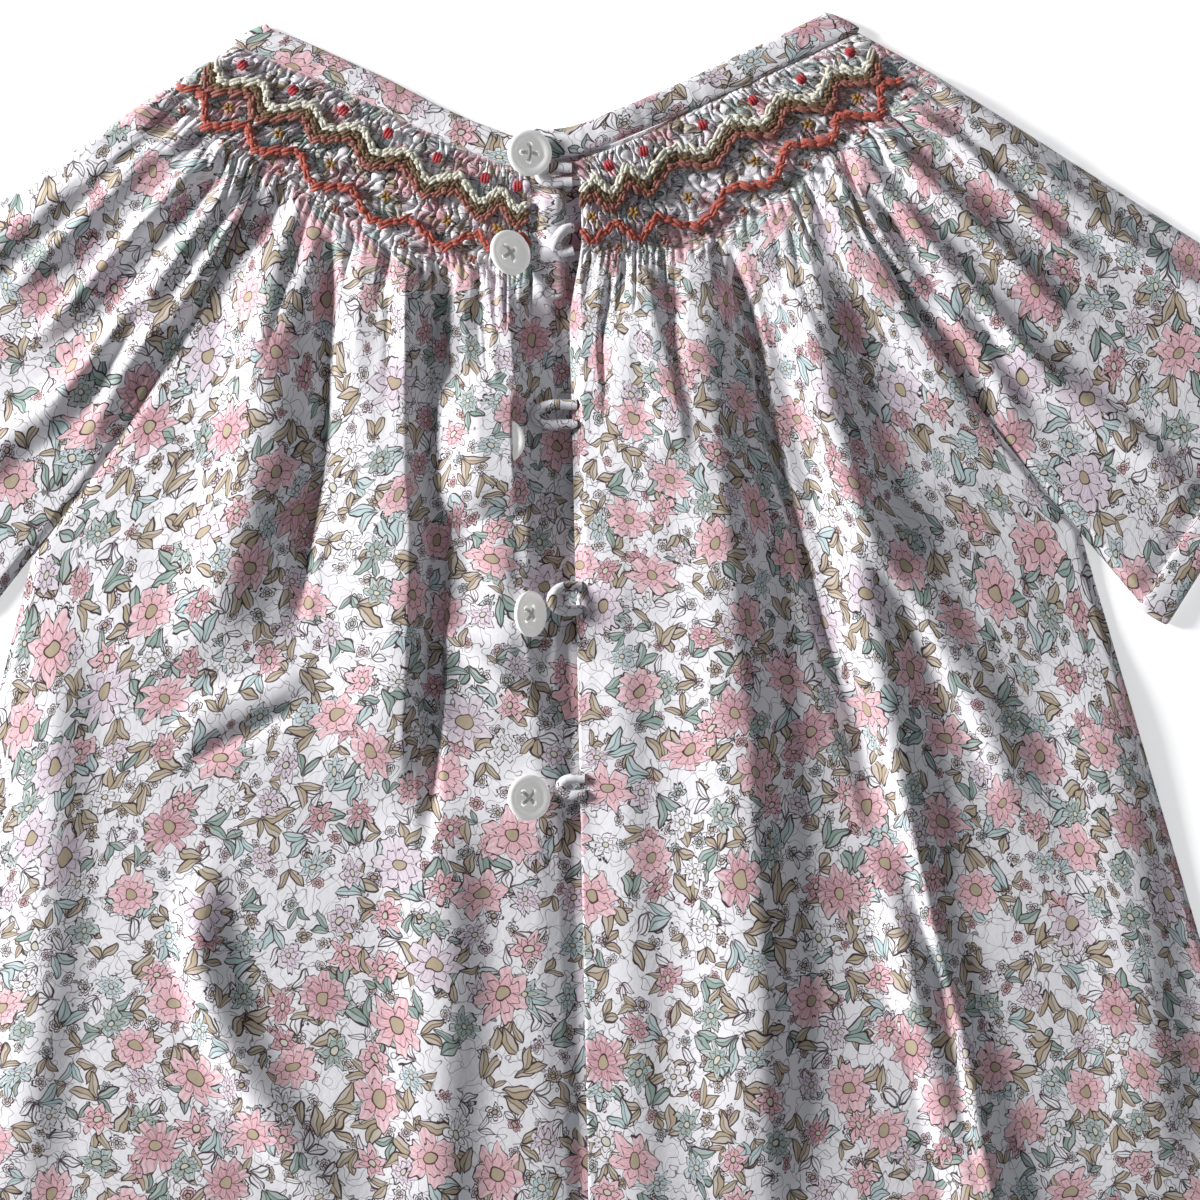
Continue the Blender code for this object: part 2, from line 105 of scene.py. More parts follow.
# Ridges of cloth: side, start x and d, end x and d, bow, width of the slopes left and right, height
FOLDS = (
    (1, 21, 33, 31, 78, 1, 8, 4, 1.6),
    (1, 33, 38, 45, 262, 4, 24, 15, 5.6),
    (1, 57, 31, 84, 204, 4, 10, 13, 4.8),
    (1, 80, 190, 99, 275, 2, 9, 16, 5.4),
    (1, 68, 84, 108, 160, 2, 6, 13, 3.0),
    (1, 67, 6, 98, 68, -3, 9, 7, 2.4),
    (1, 128, 130, 140, 250, 2, 16, 14, 2.4),
    (-1, -12, 36, -13, 134, 1, 13, 10, 2.5),
    (-1, -14.5, 56, -14.5, 90, 0, 6, 7, 1.0),
    (-1, -35, 28, -38, 150, 1, 22, 6, 4.6),
    (-1, -64, 30, -84, 120, 3, 14, 19, 4.4),
    (-1, -28, 119, 1, 143, 1, 4, 6, 1.5),
    (-1, -90, 140, -60, 129, 2, 9, 6, 1.4),
    (-1, -88, 180, -57, 250, -8, 8, 12, 4.0),
    (-1, -30, 165, -33, 268, 2, 16, 14, 2.6),
    (-1, -120, 120, -132, 250, 2, 16, 14, 2.4),
)
# Troughs, in the same columns
TROUGHS = (
    (-1, -26.3, 27, -31.5, 160, 1.5, 3.8, 3.2, 4.2),
    (-1, -52.5, 27, -61.5, 114, 1.5, 4.5, 3.4, 2.6),
    (-1, -87, 147, -62, 135, 0, 4, 4, 1.2),
    (-1, -3.6, 104, -3.6, 126, 0, 4.5, 4.5, 1.5),
    (1, 44.5, 34, 66, 132, -1, 2.6, 3.0, 3.2),
    (1, 66, 126, 97, 256, 3, 8, 4, 3.6),
)
# Ridges across the upper sleeves, in the columns start x and d, end x and d, width, height
SLEEVE_FOLDS = (
    (84, -5, 128, 34, 4.2, 2.6),
    (78, 2, 122, 46, 4.2, 2.8),
    (75, 10, 118, 62, 4.4, 2.6),
    (71, 17, 100, 54, 4.2, 2.0),
    (112, 10, 168, 52, 6.0, 2.4),
    (108, 52, 150, 88, 7.0, 2.4),
    (84, 22, 112, 72, 5.0, 2.2),
)

# Rows of cable stitches: thread, distance from the band with the share of the smocking's depth added to it,
# swing of the zigzag, thickness, seed
CABLES = (
    ("cream", (8.7, 0.0), 2.4, 1.55, 1),
    ("olive", (10.7, 0.0), 2.4, 1.45, 2),
    ("rust", (12.6, 0.0), 2.4, 1.45, 3),
    ("orange", (-3.0, 0.9), -2.6, 1.5, 4),
)

# Buttons: x, d, height of the middle of the underside, lean to the right and up, turn of the holes
BUTTONS = (
    (-4.9, 5.9, 7.2, 20, -4, 5),
    (-10.3, 29.6, 6.2, 33, 10, 55),
    (-12.2, 74.1, 7.6, -6, 0, 10),
    (-7.6, 115.1, 6.6, 50, 0, 40),
    (-8.4, 158.7, 5.7, 25, 2, 45),
)
# Loops: middle d, reach to the left, spread, height at the ends, height at the tip, twist
LOOPS = (
    (10.9, 6.4, 3.4, 5.2, 5.2, 0.0),
    (26.2, 3.2, 5.2, 5.4, 6.4, 0.9),
    (67.9, 8.6, 4.6, 5.2, 6.4, 0.0),
    (111.6, 5.6, 5.6, 5.2, 9.6, 0.15),
    (156.4, 4.4, 3.8, 4.9, 5.2, 0.0),
)

PRINT_SCALE = 1.17

# Colours, as seen, red green blue
GROUND = (0.93, 0.925, 0.945)
LINE = (0.24, 0.17, 0.19)
PINK = (0.90, 0.66, 0.70)
ROSE = (0.79, 0.53, 0.58)
LILAC = (0.86, 0.79, 0.85)
SAGE = (0.57, 0.66, 0.63)
EGG = (0.72, 0.80, 0.81)
KHAKI = (0.71, 0.65, 0.56)
CREAM = (0.82, 0.81, 0.75)
OLIVE = (0.40, 0.30, 0.17)
RUST = (0.55, 0.32, 0.27)
ORANGE = (0.66, 0.29, 0.23)
MUSTARD = (0.56, 0.40, 0.12)
RED = (0.66, 0.12, 0.16)


def lerp(a, b, t):
    return a + (b - a) * t


def step(low, high, value):
    t = np.clip((value - low) / (high - low), 0.0, 1.0)
    return t * t * (3 - 2 * t)


def window(low, rise, fall, high, value):
    """1 between rise and fall, and 0 before low and past high."""
    return step(low, rise, value) * (1 - step(fall, high, value))


def bezier(p, q, r, t):
    return lerp(lerp(p, q, t), lerp(q, r, t), t)


def linear(colour):
    """Linear light for a colour given as it is seen."""
    return tuple(c / 12.92 if c <= 0.04045 else ((c + 0.055) / 1.055) ** 2.4 for c in colour)


def hashed(values, seed):
    """Repeatable numbers between 0 and 1 for whole numbers."""
    v = np.sin(np.asarray(values, float) * 127.1 + seed * 311.7) * 43758.5453
    return v - np.floor(v)


def wander(x, seed):
    """Smooth noise along one line, about -1 to 1."""
    cell = np.floor(x)
    f = x - cell
    f = f * f * (3 - 2 * f)
    return 2 * lerp(hashed(cell, seed), hashed(cell + 1, seed), f) - 1


def cloud(x, y, seed):
    """Smooth noise over a plane, about -1 to 1."""
    cx, cy = np.floor(x), np.floor(y)
    fx, fy = x - cx, y - cy
    fx, fy = fx * fx * (3 - 2 * fx), fy * fy * (3 - 2 * fy)
    corner = [hashed(cx + i + 57 * (cy + j), seed) for j in (0, 1) for i in (0, 1)]
    return 2 * lerp(lerp(corner[0], corner[1], fx), lerp(corner[2], corner[3], fx), fy) - 1


def depth_of(q):
    """Depth of the smocking at q."""
    out = np.maximum(q, 0.0)
    return SMOCK_DEPTH + SMOCK_GAIN * out + SMOCK_SWELL * np.maximum(np.sin(np.pi * out), 0) ** 1.2


def sleeve_depth(s):
    return lerp(SMOCK_DEPTH + SMOCK_GAIN, SHOULDER_DEPTH, s)


def dropped(side, x, d):
    """The left side sits a little lower by the opening. x counts outwards."""
    if side > 0:
        return d
    return d + LEFT_DROP * (1 - step(10, 55, np.abs(x))) * (1 - step(45, 100, d))


def bulge(x, d):
    """How far the right side stands out to the right by the first two buttons."""
    return EDGE_BULGE * window(7, 13, 24, 48, d) * (1 - step(4, 26, x))


def lap_lift(x, d):
    """How much higher the right side lies by its edge, over the underlap."""
    return LAP_LIFT * (1 - step(15, 34, x)) + 1.1 * window(10, 16, 36, 52, d) * (1 - step(5, 17, x))


# Outline
def neck_d(x):
    return -NECK_SLOPE * (np.hypot(x, NECK_ROUND) - NECK_ROUND)


def back_edge(x, width):
    slope = -NECK_SLOPE * x / np.hypot(x, NECK_ROUND)
    size = np.hypot(1, slope)
    lead = 0.833 * width * step(50, NECK_HALF, np.abs(x)) * np.sign(x)
    return x - slope / size * width + lead / size, neck_d(x) + width / size + lead * slope / size


def front_edge(x, width):
    share = np.abs(x) / NECK_HALF
    drop = FRONT_DROP - neck_d(NECK_HALF)
    slope = -drop * FRONT_CURVE / NECK_HALF * share ** (FRONT_CURVE - 1) * np.sign(x)
    size = np.hypot(1, slope)
    return x - slope / size * width, FRONT_DROP - drop * share**FRONT_CURVE + width / size


def back_ray(q, t):
    """Points (x, d) of a back: q from placket to raglan seam, t from the band over 1 and 2 to the hem."""
    q, t = np.broadcast_arrays(np.asarray(q, float), np.asarray(t, float))
    out = np.maximum(q, 0.0)
    bx, bd = back_edge(3.0 + (RAGLAN_X - 3.0) * q, BAND)
    turn = np.radians(SMOCK_TURN * out)
    depth = depth_of(q)
    sx, sd = bx + depth * np.sin(turn), bd + depth * np.cos(turn)
    under = q < 0
    cx = np.where(under, bx, PLACKET + (UNDERARM[0] - PLACKET) * (0.25 * out + 0.75 * out**1.9))
    cd = np.full_like(q, UNDERARM[1])
    hx = np.where(under, bx, PLACKET + (HEM_HALF - PLACKET) * (0.8 * out + 0.2 * out * out))
    hd = LENGTH - HEM_RISE * out * out
    px, pd = lerp(sx, cx, 0.5 - 0.2 * out), (sd + cd) / 2
    lx = lerp(cx * 1.9 - px * 0.9, (cx + hx) / 2, out**6)
    ld = lerp(cd * 1.9 - pd * 0.9, (cd + hd) / 2, out**6)
    a, b, c = np.clip(t, 0, 1), np.clip(t - 1, 0, 1), np.clip(t - 2, 0, 1)
    x = np.where(t <= 1, lerp(bx, sx, a), np.where(t <= 2, bezier(sx, px, cx, b), bezier(cx, lx, hx, c)))
    d = np.where(t <= 1, lerp(bd, sd, a), np.where(t <= 2, bezier(sd, pd, cd, b), bezier(cd, ld, hd, c)))
    return x, d


def sleeve_end(s, inset):
    ex, ed = lerp(SLEEVE_LOW[0], SLEEVE_TOP[0], s), lerp(SLEEVE_LOW[1], SLEEVE_TOP[1], s)
    ax, ad = SLEEVE_TOP[1] - SLEEVE_LOW[1], SLEEVE_LOW[0] - SLEEVE_TOP[0]
    size = math.hypot(ax, ad)
    return ex + ax / size * inset, ed + ad / size * inset


def sleeve_ray(s, t):
    """Points of an upper sleeve: s from the raglan seam to the shoulder fold."""
    s, t = np.broadcast_arrays(np.asarray(s, float), np.asarray(t, float))
    bx, bd = back_edge(RAGLAN_X + (NECK_HALF - RAGLAN_X) * s, BAND)
    rx, rd = (float(v) for v in back_ray(1.0, 1.0))
    sx = lerp(rx, SHOULDER_SMOCK[0], s) + 2 * np.sin(np.pi * s)
    sd = lerp(rd, SHOULDER_SMOCK[1], s) + 3 * np.sin(np.pi * s)
    far = (lerp(SHOULDER_SMOCK[0], SLEEVE_TOP[0], 0.74), lerp(SHOULDER_SMOCK[1], SLEEVE_TOP[1], 0.74))
    cx, cd = lerp(UNDERARM[0], far[0], s), lerp(UNDERARM[1], far[1], s)
    bend = step(0, 0.6, s)
    px = lerp(lerp(rx, UNDERARM[0], 0.3), (sx + cx) / 2, bend)
    pd = lerp((rd + UNDERARM[1]) / 2, (sd + cd) / 2, bend)
    ex, ed = sleeve_end(s, CUFF)
    a, b, c = np.clip(t, 0, 1), np.clip(t - 1, 0, 1), np.clip(t - 2, 0, 1)
    x = np.where(t <= 1, lerp(bx, sx, a), np.where(t <= 2, bezier(sx, px, cx, b), lerp(cx, ex, c)))
    d = np.where(t <= 1, lerp(bd, sd, a), np.where(t <= 2, bezier(sd, pd, cd, b), lerp(cd, ed, c)))
    return x, d


def sleeve_under(s, t):
    """Points of the under side of a sleeve, from the front raglan seam (0) to the shoulder fold (1)."""
    s, t = np.broadcast_arrays(np.asarray(s, float), np.asarray(t, float))
    fx, fd = sleeve_ray(1.0, t)
    nx, nd = front_edge(FRONT_RAGLAN_X, BAND)
    ex, ed = sleeve_end(0.0, CUFF)
    x0 = np.where(t <= 2, lerp(nx, UNDERARM[0], t / 2), lerp(UNDERARM[0], ex, t - 2))
    d0 = np.where(t <= 2, lerp(nd, UNDERARM[1], t / 2), lerp(UNDERARM[1], ed, t - 2))
    rx, rd = front_edge(lerp(FRONT_RAGLAN_X, NECK_HALF, s), BAND)
    cx, cd = sleeve_ray(1.0, 0.0)
    held = np.maximum(1 - t, 0) ** 2
    x = lerp(x0, fx, s) + (rx - lerp(nx, cx, s)) * held
    d = lerp(d0, fd, s) + (rd - lerp(nd, cd, s)) * held
    return x, d


# Heights
def ridge(x, d, row):
    _, ax, ad, bx, bd, bow, rise, fall, height = row
    length = math.hypot(bx - ax, bd - ad)
    ux, ud = (bx - ax) / length, (bd - ad) / length
    along = ((x - ax) * ux + (d - ad) * ud) / length
    across = (x - ax) * ud - (d - ad) * ux - bow * 4 * along * (1 - along)
    across = across + 0.7 * wander(along * length / 17, ax)
    width = np.where(across < 0, rise, fall)
    shape = np.where(np.abs(across) < width, 0.5 + 0.5 * np.cos(np.pi * across / width), 0)
    shape = shape ** np.where(across < 0, 0.85, 1.35)
    return height * shape * window(-0.12, 0.15, 0.8, 1.12, along)


def pleat_number(side, x_knots):
    """Pleats counted along the row of knots."""
    stations = REPEATS[side]
    return REPEAT_PLEATS * np.interp(x_knots, [s[0] for s in stations], [s[1] for s in stations])


def valley(number, sharp):
    """1 on the crowns and 0 in the narrow valleys between them, one crown to each whole number."""
    return np.abs(np.sin(np.pi * number)) ** sharp


def creases(number, cells, seed, sharp):
    """Uneven crowns with narrow creases between them, about one to each cells pleats."""
    return np.minimum(1.0, 2.2 * np.abs(wander(number / cells, seed))) ** sharp


def gathers(number, reach, seed):
    """Loose gathers under the smocking: fine near it, wider further down. reach is the distance below it."""
    drift = 0.4 * wander(reach / 11, seed + 9) + 0.4 * wander(number / 5, seed + 3)
    fine = valley(number + drift, 0.7) * 1.3 * (1 - step(-2, 6, reach))
    some = creases(number + drift, 1.5, seed + 2, 0.7) * 1.9 * window(-4, 3, 4, 17, reach)
    middle = creases(number + 0.7 * drift, 3.6, seed, 0.8) * 2.0 * window(2, 12, 14, 46, reach)
    wide = (0.5 + 0.5 * wander(number / 4.1, seed + 5)) * 2.8 * window(6, 24, 45, 130, reach)
    return fine + some + middle + wide


def smocked(number, p, seed):
    """Height of the pleats held by the stitches, at the distance p from the band. They sway together, and
    neighbours swell and pinch in turn down the yoke."""
    swayed = number + 0.8 * cloud(number * 0.32, p / 3.4, seed)
    turns = p / 5.6 + 0.3 * wander(number * 0.45, seed + 1)
    phase = swayed - 0.27 * np.cos(np.pi * swayed) * np.sin(2 * np.pi * turns)
    pleat = np.floor(phase)
    grain = np.abs(np.sin(np.pi * (p / 2.9 + 0.5 * pleat + 0.35 * hashed(pleat, seed)))) ** 0.5
    high = 1.6 * (0.8 + 0.2 * cloud(phase * 0.9, p / 2.2, seed + 3)) * (0.5 + 0.5 * grain)
    return valley(phase, 0.5) * high


def rows_of(legs):
    """Row positions from (from, to, count) legs."""
    parts = [np.linspace(a, b, n, endpoint=False) for a, b, n in legs]
    return np.append(np.concatenate(parts), legs[-1][1])


def placed(x, d, z):
    return np.stack([x / 1000, (CENTRE_D - d) / 1000, z / 1000], axis=-1)


def mesh_object(name, points, faces, material, uv):
    mesh = bpy.data.meshes.new(name)
    faces = np.asarray(faces, np.int32)
    count, corners = faces.shape
    mesh.vertices.add(len(points))
    mesh.vertices.foreach_set("co", np.asarray(points, np.float32).ravel())
    mesh.loops.add(count * corners)
    mesh.loops.foreach_set("vertex_index", faces.ravel())
    mesh.polygons.add(count)
    mesh.polygons.foreach_set("loop_start", np.arange(count, dtype=np.int32) * corners)
    mesh.polygons.foreach_set("use_smooth", np.ones(count, bool))
    layer = mesh.uv_layers.new(name="cloth")
    layer.data.foreach_set("uv", np.asarray(uv, np.float32)[faces.ravel()].ravel())
    mesh.update()
    mesh.validate()
    mesh.materials.append(material)
    obj = bpy.data.objects.new(name, mesh)
    bpy.context.scene.collection.objects.link(obj)
    return obj


def grid_faces(rows, columns, flip, start=0):
    r, c = np.meshgrid(np.arange(rows - 1), np.arange(columns - 1), indexing="ij")
    a = start + (r * columns + c).ravel()
    quad = np.stack([a, a + columns, a + columns + 1, a + 1], axis=1)
    return quad[:, ::-1] if flip else quad


def sheet_uv(x, d, z, wide, offset, deep=1.0):
    """Flat-cloth coordinates in metres: across by share of each row's own length, down by length along rays.
    deep counts the pleats as deeper than they are drawn, since most of their cloth is out of sight."""
    along = np.zeros_like(x)
    run = np.sqrt(np.diff(x, axis=1) ** 2 + np.diff(d, axis=1) ** 2 + (deep * np.diff(z, axis=1)) ** 2)
    along[:, 1:] = np.cumsum(run, axis=1)
    down = np.zeros_like(x)
    down[1:, :] = np.cumsum(np.hypot(np.diff(x, axis=0), np.diff(d, axis=0)), axis=0)
    middle = down.mean(axis=1, keepdims=True)
    u = along / along[:, -1:] * wide[:, None]
    v = 0.25 * down + 0.75 * middle
    return np.stack([(u + offset[0]) / 1000, (v + offset[1]) / 1000], axis=-1)


def run_down(x, d):
    """Distance from the top along each ray."""
    total = np.zeros_like(x)
    total[1:, :] = np.cumsum(np.hypot(np.diff(x, axis=0), np.diff(d, axis=0)), axis=0)
    return total


def cloth_height(x, d, down, depth, number, seed):
    """Rise of the gathered cloth over its flat height: smocked pleats, then gathers that loosen."""
    held = 1 - step(depth - 2.0, depth + 3.0, down)
    tight = smocked(number, down, seed)
    loose = gathers(number, down - depth, seed)
    crumple = 0.26 * cloud(x / 8, d / 11, seed + 1) + 0.11 * cloud(x / 3.1, d / 4.3, seed + 2)
    return held * tight + (1 - held) * (loose + crumple * step(0, 10, down - depth))


# How far each turn of the folded edge goes under, and how far it falls
EDGE_TURN = ((0.1, 0.7), (1.8, 0.3), (9.0, 0.1))
BACK_LEGS = ((0, 1, 66), (1, 1.5, 62), (1.5, 2, 40), (2, 3, 108))
SLEEVE_LEGS = ((0, 1, 60), (1, 1.6, 50), (1.6, 2, 24), (2, 3, 34))


def back_z(side, x, d, q, down, number):
    """Height of a back's cloth; x is signed and q may run below 0 on the underlap."""
    depth = depth_of(q)
    seed = 11 if side > 0 else 23
    body = cloth_height(x, d, down, depth, number, seed)
    folds = sum(ridge(x, d, row) for row in FOLDS if row[0] == side)
    folds = folds - sum(ridge(x, d, row) for row in TROUGHS if row[0] == side)
    gone = down - depth
    folds = 1.12 * folds * step(-4, 9, gone) * (1 - step(LENGTH - 40, LENGTH - 6, d))
    puff = 1.3 * step(4, 30, gone) * (1 - step(LENGTH - 70, LENGTH - 12, d)) * (1 - step(0.8, 0.97, q))
    body = body * (1 - 0.85 * step(60, 190, gone))
    if side > 0:
        edge = step(PLACKET - 0.5, PLACKET + 12, x)
        z = FLAT_Z + (folds + puff) * edge + body * step(PLACKET + 0.3, PLACKET + 3, x)
        r = np.clip((x - x[:, :1]) / 0.7, 0, 1)
        z = z + lap_lift(x, d) - 0.6 * (1 - np.sqrt(1 - (1 - r) ** 2))
    else:
        plain = step(-4.0, -1.5, x)
        z = FLAT_Z + (folds + puff) * (1 - step(-7, 1.5, x)) + body * (1 - plain)
        bank = plain * (1 - step(2.6, 4.4, x)) * window(12, 17, 36, 46, d)
        z = z + bank * (2.6 + 1.0 * cloud(x / 3, d / 5.5, 5))
        low = window(34, 48, 130, 150, d)
        z = z - 1.3 * np.where(d < 40, step(2.4, 4.6, x), step(-1, 2.2, x)) - 1.4 * low * step(-0.8, 2.4, x)
        near = np.exp(-(((d - COVER_D) / 8.5) ** 4))
        over = step(-38, -17, x) * window(46, 66, 82, 104, d)
        z = np.maximum(z, COVER_TOP * over * (1 - step(COVER_START, lerp(*COVER_END, near), x)))
    z = np.maximum(z, LEAST_Z)
    z = lerp(FLAT_Z - 0.5, z, step(-0.4, 1.8, down))
    return z


def seam_dip(x, d, dip, wide):
    """Lowers the cloth towards its last column, where it is sewn."""
    near = np.hypot(x - x[:, -1:], d - d[:, -1:])
    return dip * (1 - step(0, wide, near))


def build_back(name, side, material):
    q = np.linspace(0, 1, 321)
    if side < 0:
        q = np.append(np.linspace(UNDERLAP, 0, 22)[:-1], q)
    t = rows_of(BACK_LEGS)[:, None]
    x, d = back_ray(q[None, :], t)
    down = run_down(x, d)
    number = pleat_number(side, back_ray(q, 0.155)[0])[None, :]
    d = dropped(side, x, d)
    if side > 0:
        x = x + bulge(x, d)
    z = back_z(side, x * side, d, q[None, :], down, number)
    z = z - seam_dip(x, d, 0.8, 2.2)
    low = step(2.0, 2.08, t) * (1 - step(0, 3.0, np.hypot(x - x[:, -1:], d - d[:, -1:])))
    z = lerp(z, SEAM_Z, low)
    hem_d = d + HEM_RISE * q[None, :] ** 2
    z = lerp(z, HEM_Z, step(LENGTH - 1.2, LENGTH, hem_d))
    z = z - 0.25 * np.exp(-(((hem_d - (LENGTH - HEM_DEEP)) / 0.7) ** 2))
    x = x * side
    wide = np.interp(t[:, 0], [0, 1, 2, 3], [134, 141, 162, 198])
    deep = 1 + 1.6 * (1 - step(0.9, 1.25, t))
    uv = sheet_uv(x, d, z, wide, (0, 0) if side > 0 else (310, 47), deep)
    if side > 0:
        for turned_in, fall in EDGE_TURN:
            x = np.concatenate([x[:, :1] + turned_in, x], axis=1)
            d = np.concatenate([d[:, :1], d], axis=1)
            z = np.concatenate([z[:, :1] - fall, z], axis=1)
            uv = np.concatenate([uv[:, :1] - np.array([turned_in / 1000, 0]), uv], axis=1)
    faces = grid_faces(*x.shape, flip=side < 0)
    points = placed(x, d, z).reshape(-1, 3)
    return mesh_object(name, points, faces, material, uv.reshape(-1, 2))


def sleeve_z(side, x, d, s, down, number, t):
    depth = sleeve_depth(s)
    seed = 31 if side > 0 else 43
    body = cloth_height(x, d, down, depth, number, seed)
    gone = down - depth
    folds = sum(ridge(np.abs(x), d, (1, *row[:4], 0, row[4], row[4], row[5])) for row in SLEEVE_FOLDS)
    fade = step(-4, 8, gone) * (1 - step(2.75, 2.98, t))
    body = body * (1 - 0.8 * step(30, 90, gone)) * (1 - step(2.8, 2.98, t))
    z = FLAT_Z + body + (folds + 0.7) * fade
    return lerp(FLAT_Z - 0.5, z, step(-0.4, 1.8, down))


def build_sleeve(name, side, material):
    """Upper side, round the shoulder fold, and the flat under side, as one piece of cloth."""
    s = np.linspace(0, 1, 181)
    t = rows_of(SLEEVE_LEGS)[:, None]
    x, d = sleeve_ray(s[None, :], t)
    down = run_down(x, d)
    number = pleat_number(side, sleeve_ray(s, 0.155)[0])[None, :]
    z = sleeve_z(side, x * side, d, s[None, :], down, number, t)
    near = np.hypot(x - x[:, :1], d - d[:, :1])
    z = z - 0.8 * (1 - step(0, 2.2, near))
    z = lerp(z, 1.4, step(2.0, 2.08, t) * (1 - step(0, 2.5, near)))
    r = np.clip(np.hypot(x - x[:, -1:], d - d[:, -1:]) / 2.6, 0, 1)
    z = lerp(1.3, z, np.sqrt(1 - (1 - r) ** 2))
    back = np.concatenate([1 - np.array([0.004, 0.012, 0.024, 0.04]), np.linspace(0.94, 0, 14)])
    ux, ud = sleeve_under(back[None, :], t)
    r = np.clip(np.hypot(ux - x[:, -1:], ud - d[:, -1:]) / 2.2, 0, 1)
    uz = lerp(1.2, 0.12, np.sqrt(1 - (1 - r) ** 2))
    x, d, z = (np.concatenate(pair, axis=1) for pair in ((x, ux), (d, ud), (z, uz)))
    x = x * side
    wide = np.interp(t[:, 0], [0, 1, 2, 3], [120, 126, 150, 168])
    deep = 1 + 1.6 * (1 - step(0.9, 1.3, t))
    uv = sheet_uv(x, d, z, wide, (520, 20) if side > 0 else (520, 230), deep)
    faces = grid_faces(*x.shape, flip=side < 0)
    return mesh_object(name, placed(x, d, z).reshape(-1, 3), faces, material, uv.reshape(-1, 2))


def build_front(name, material):
    share = np.linspace(-1, 1, 81)[None, :]
    t = rows_of(((0, 1, 20), (1, 2, 30)))[:, None]
    nx, nd = front_edge(FRONT_RAGLAN_X * share, BAND)
    cx, cd = UNDERARM[0] * share, UNDERARM[1]
    hx, hd = HEM_HALF * share, LENGTH - HEM_RISE * share**2
    x = np.where(t <= 1, lerp(nx, cx, t), lerp(cx, hx, t - 1))
    d = np.where(t <= 1, lerp(nd, cd, t), lerp(cd, hd, t - 1))
    z = np.full_like(x, 0.15)
    uv = np.stack([(x + 900) / 1000, (d + 60) / 1000], axis=-1)
    faces = grid_faces(*x.shape, flip=True)
    return mesh_object(name, placed(x, d, z).reshape(-1, 3), faces[:, ::-1], material, uv.reshape(-1, 2))


# Sections of the neck band and the cuffs: share of the width and of the wall, round the outline
def rim_points():
    points = [(0.02, 0.05), (0.3, 0.0), (0.7, 0.0), (0.98, 0.05)]
    for k in range(11):
        a = math.pi * k / 10
        points.append((0.5 + 0.5 * math.cos(a), 0.3 + 0.7 * math.sin(a) ** 0.45))
    return points


def turned(x, d, side, angle, reach):
    """Point at this angle round the shoulder fold, from the upper side (90) to the under side (-90)."""
    run = (SLEEVE_TOP[0] - SHOULDER_SMOCK[0], SLEEVE_TOP[1] - SHOULDER_SMOCK[1])
    size = math.hypot(*run)
    out, up = math.cos(math.radians(angle)) * reach, math.sin(math.radians(angle)) * reach
    return (x + run[1] / size * out * side, d - run[0] / size * out, 1.35 + up)


def strip_section(inner, outer, side, angle, wall, lift, seed):
    """Section of a folded strip, with small puckers along it."""
    section = []
    for share, up in rim_points():
        x, d = lerp(inner[0], outer[0], share), lerp(inner[1], outer[1], share)
        pucker = 0.16 * float(wander(np.array(seed * 1.7 + share), 3)) * up
        x, d, z = turned(x, d, side, angle, 0.12 + up * wall + pucker)
        section.append((x, d, z + lift))
    return section


def sweep(name, sections, closed, material, offset, around_mm):
    array = np.array(sections)
    rows, count = array.shape[:2]
    array = np.concatenate([array, array[:, :1]], axis=1)
    if closed:
        array = np.concatenate([array, array[:1]], axis=0)
    middle = array.mean(axis=1)
    run = np.append(0, np.cumsum(np.linalg.norm(np.diff(middle, axis=0), axis=1)))
    u = np.broadcast_to(run[:, None], array.shape[:2])
    v = np.broadcast_to(np.linspace(0, around_mm, count + 1)[None, :], array.shape[:2])
    uv = np.stack([(u + offset[0]) / 1000, (v + offset[1]) / 1000], axis=-1).reshape(-1, 2)
    faces = grid_faces(*array.shape[:2], flip=False)
    points = placed(array[..., 0], array[..., 1], array[..., 2]).reshape(-1, 3)
    obj = mesh_object(name, points, faces, material, uv)
    face_outwards(obj)
    return obj


def face_outwards(obj):
    shape = bmesh.new()
    shape.from_mesh(obj.data)
    bmesh.ops.recalc_face_normals(shape, faces=shape.faces)
    shape.to_mesh(obj.data)
    shape.free()


def build_neck_band(material):
    sections = []

    def arm(x, side):
        lift = lerp(2.6, 0.0, float(step(15, 30, x))) if side > 0 else 0.0
        wave = 0.25 * float(wander(np.array(x / 6.5), 8))
        inner = (x, float(dropped(side, x, neck_d(x))) + wave)
        ox, od = back_edge(x, 7.2)
        outer = (float(ox), float(dropped(side, ox, od)))
        sections.append(strip_section(inner, outer, side, 90, 1.75, lift, x))

    def corner(side, angles):
        inner = (NECK_HALF * side, float(neck_d(NECK_HALF)))
        outer = tuple(float(v) for v in back_edge(NECK_HALF * side, 7.2))
        for angle in angles:
            sections.append(strip_section(inner, outer, side, angle, 1.3, 0.0, angle))

    for k in range(90):
        arm(lerp(-3.2, NECK_HALF, k / 89), 1)
    corner(1, (62, 36, 12, -12, -36, -62))
    for k in range(91):
        x = lerp(NECK_HALF, -NECK_HALF, k / 90)
        inner, outer = (tuple(float(v) for v in front_edge(x, w)) for w in (0, 7.0))
        sections.append(strip_section(inner, outer, 1 if x > 0 else -1, -90, 1.1, 0.0, x))
    corner(-1, (-62, -36, -12, 12, 36, 62))
    for k in range(90):
        arm(lerp(-NECK_HALF, 13.0, k / 89), -1)
    return sweep("neck_binding", sections, False, material, (60, 640), 17)


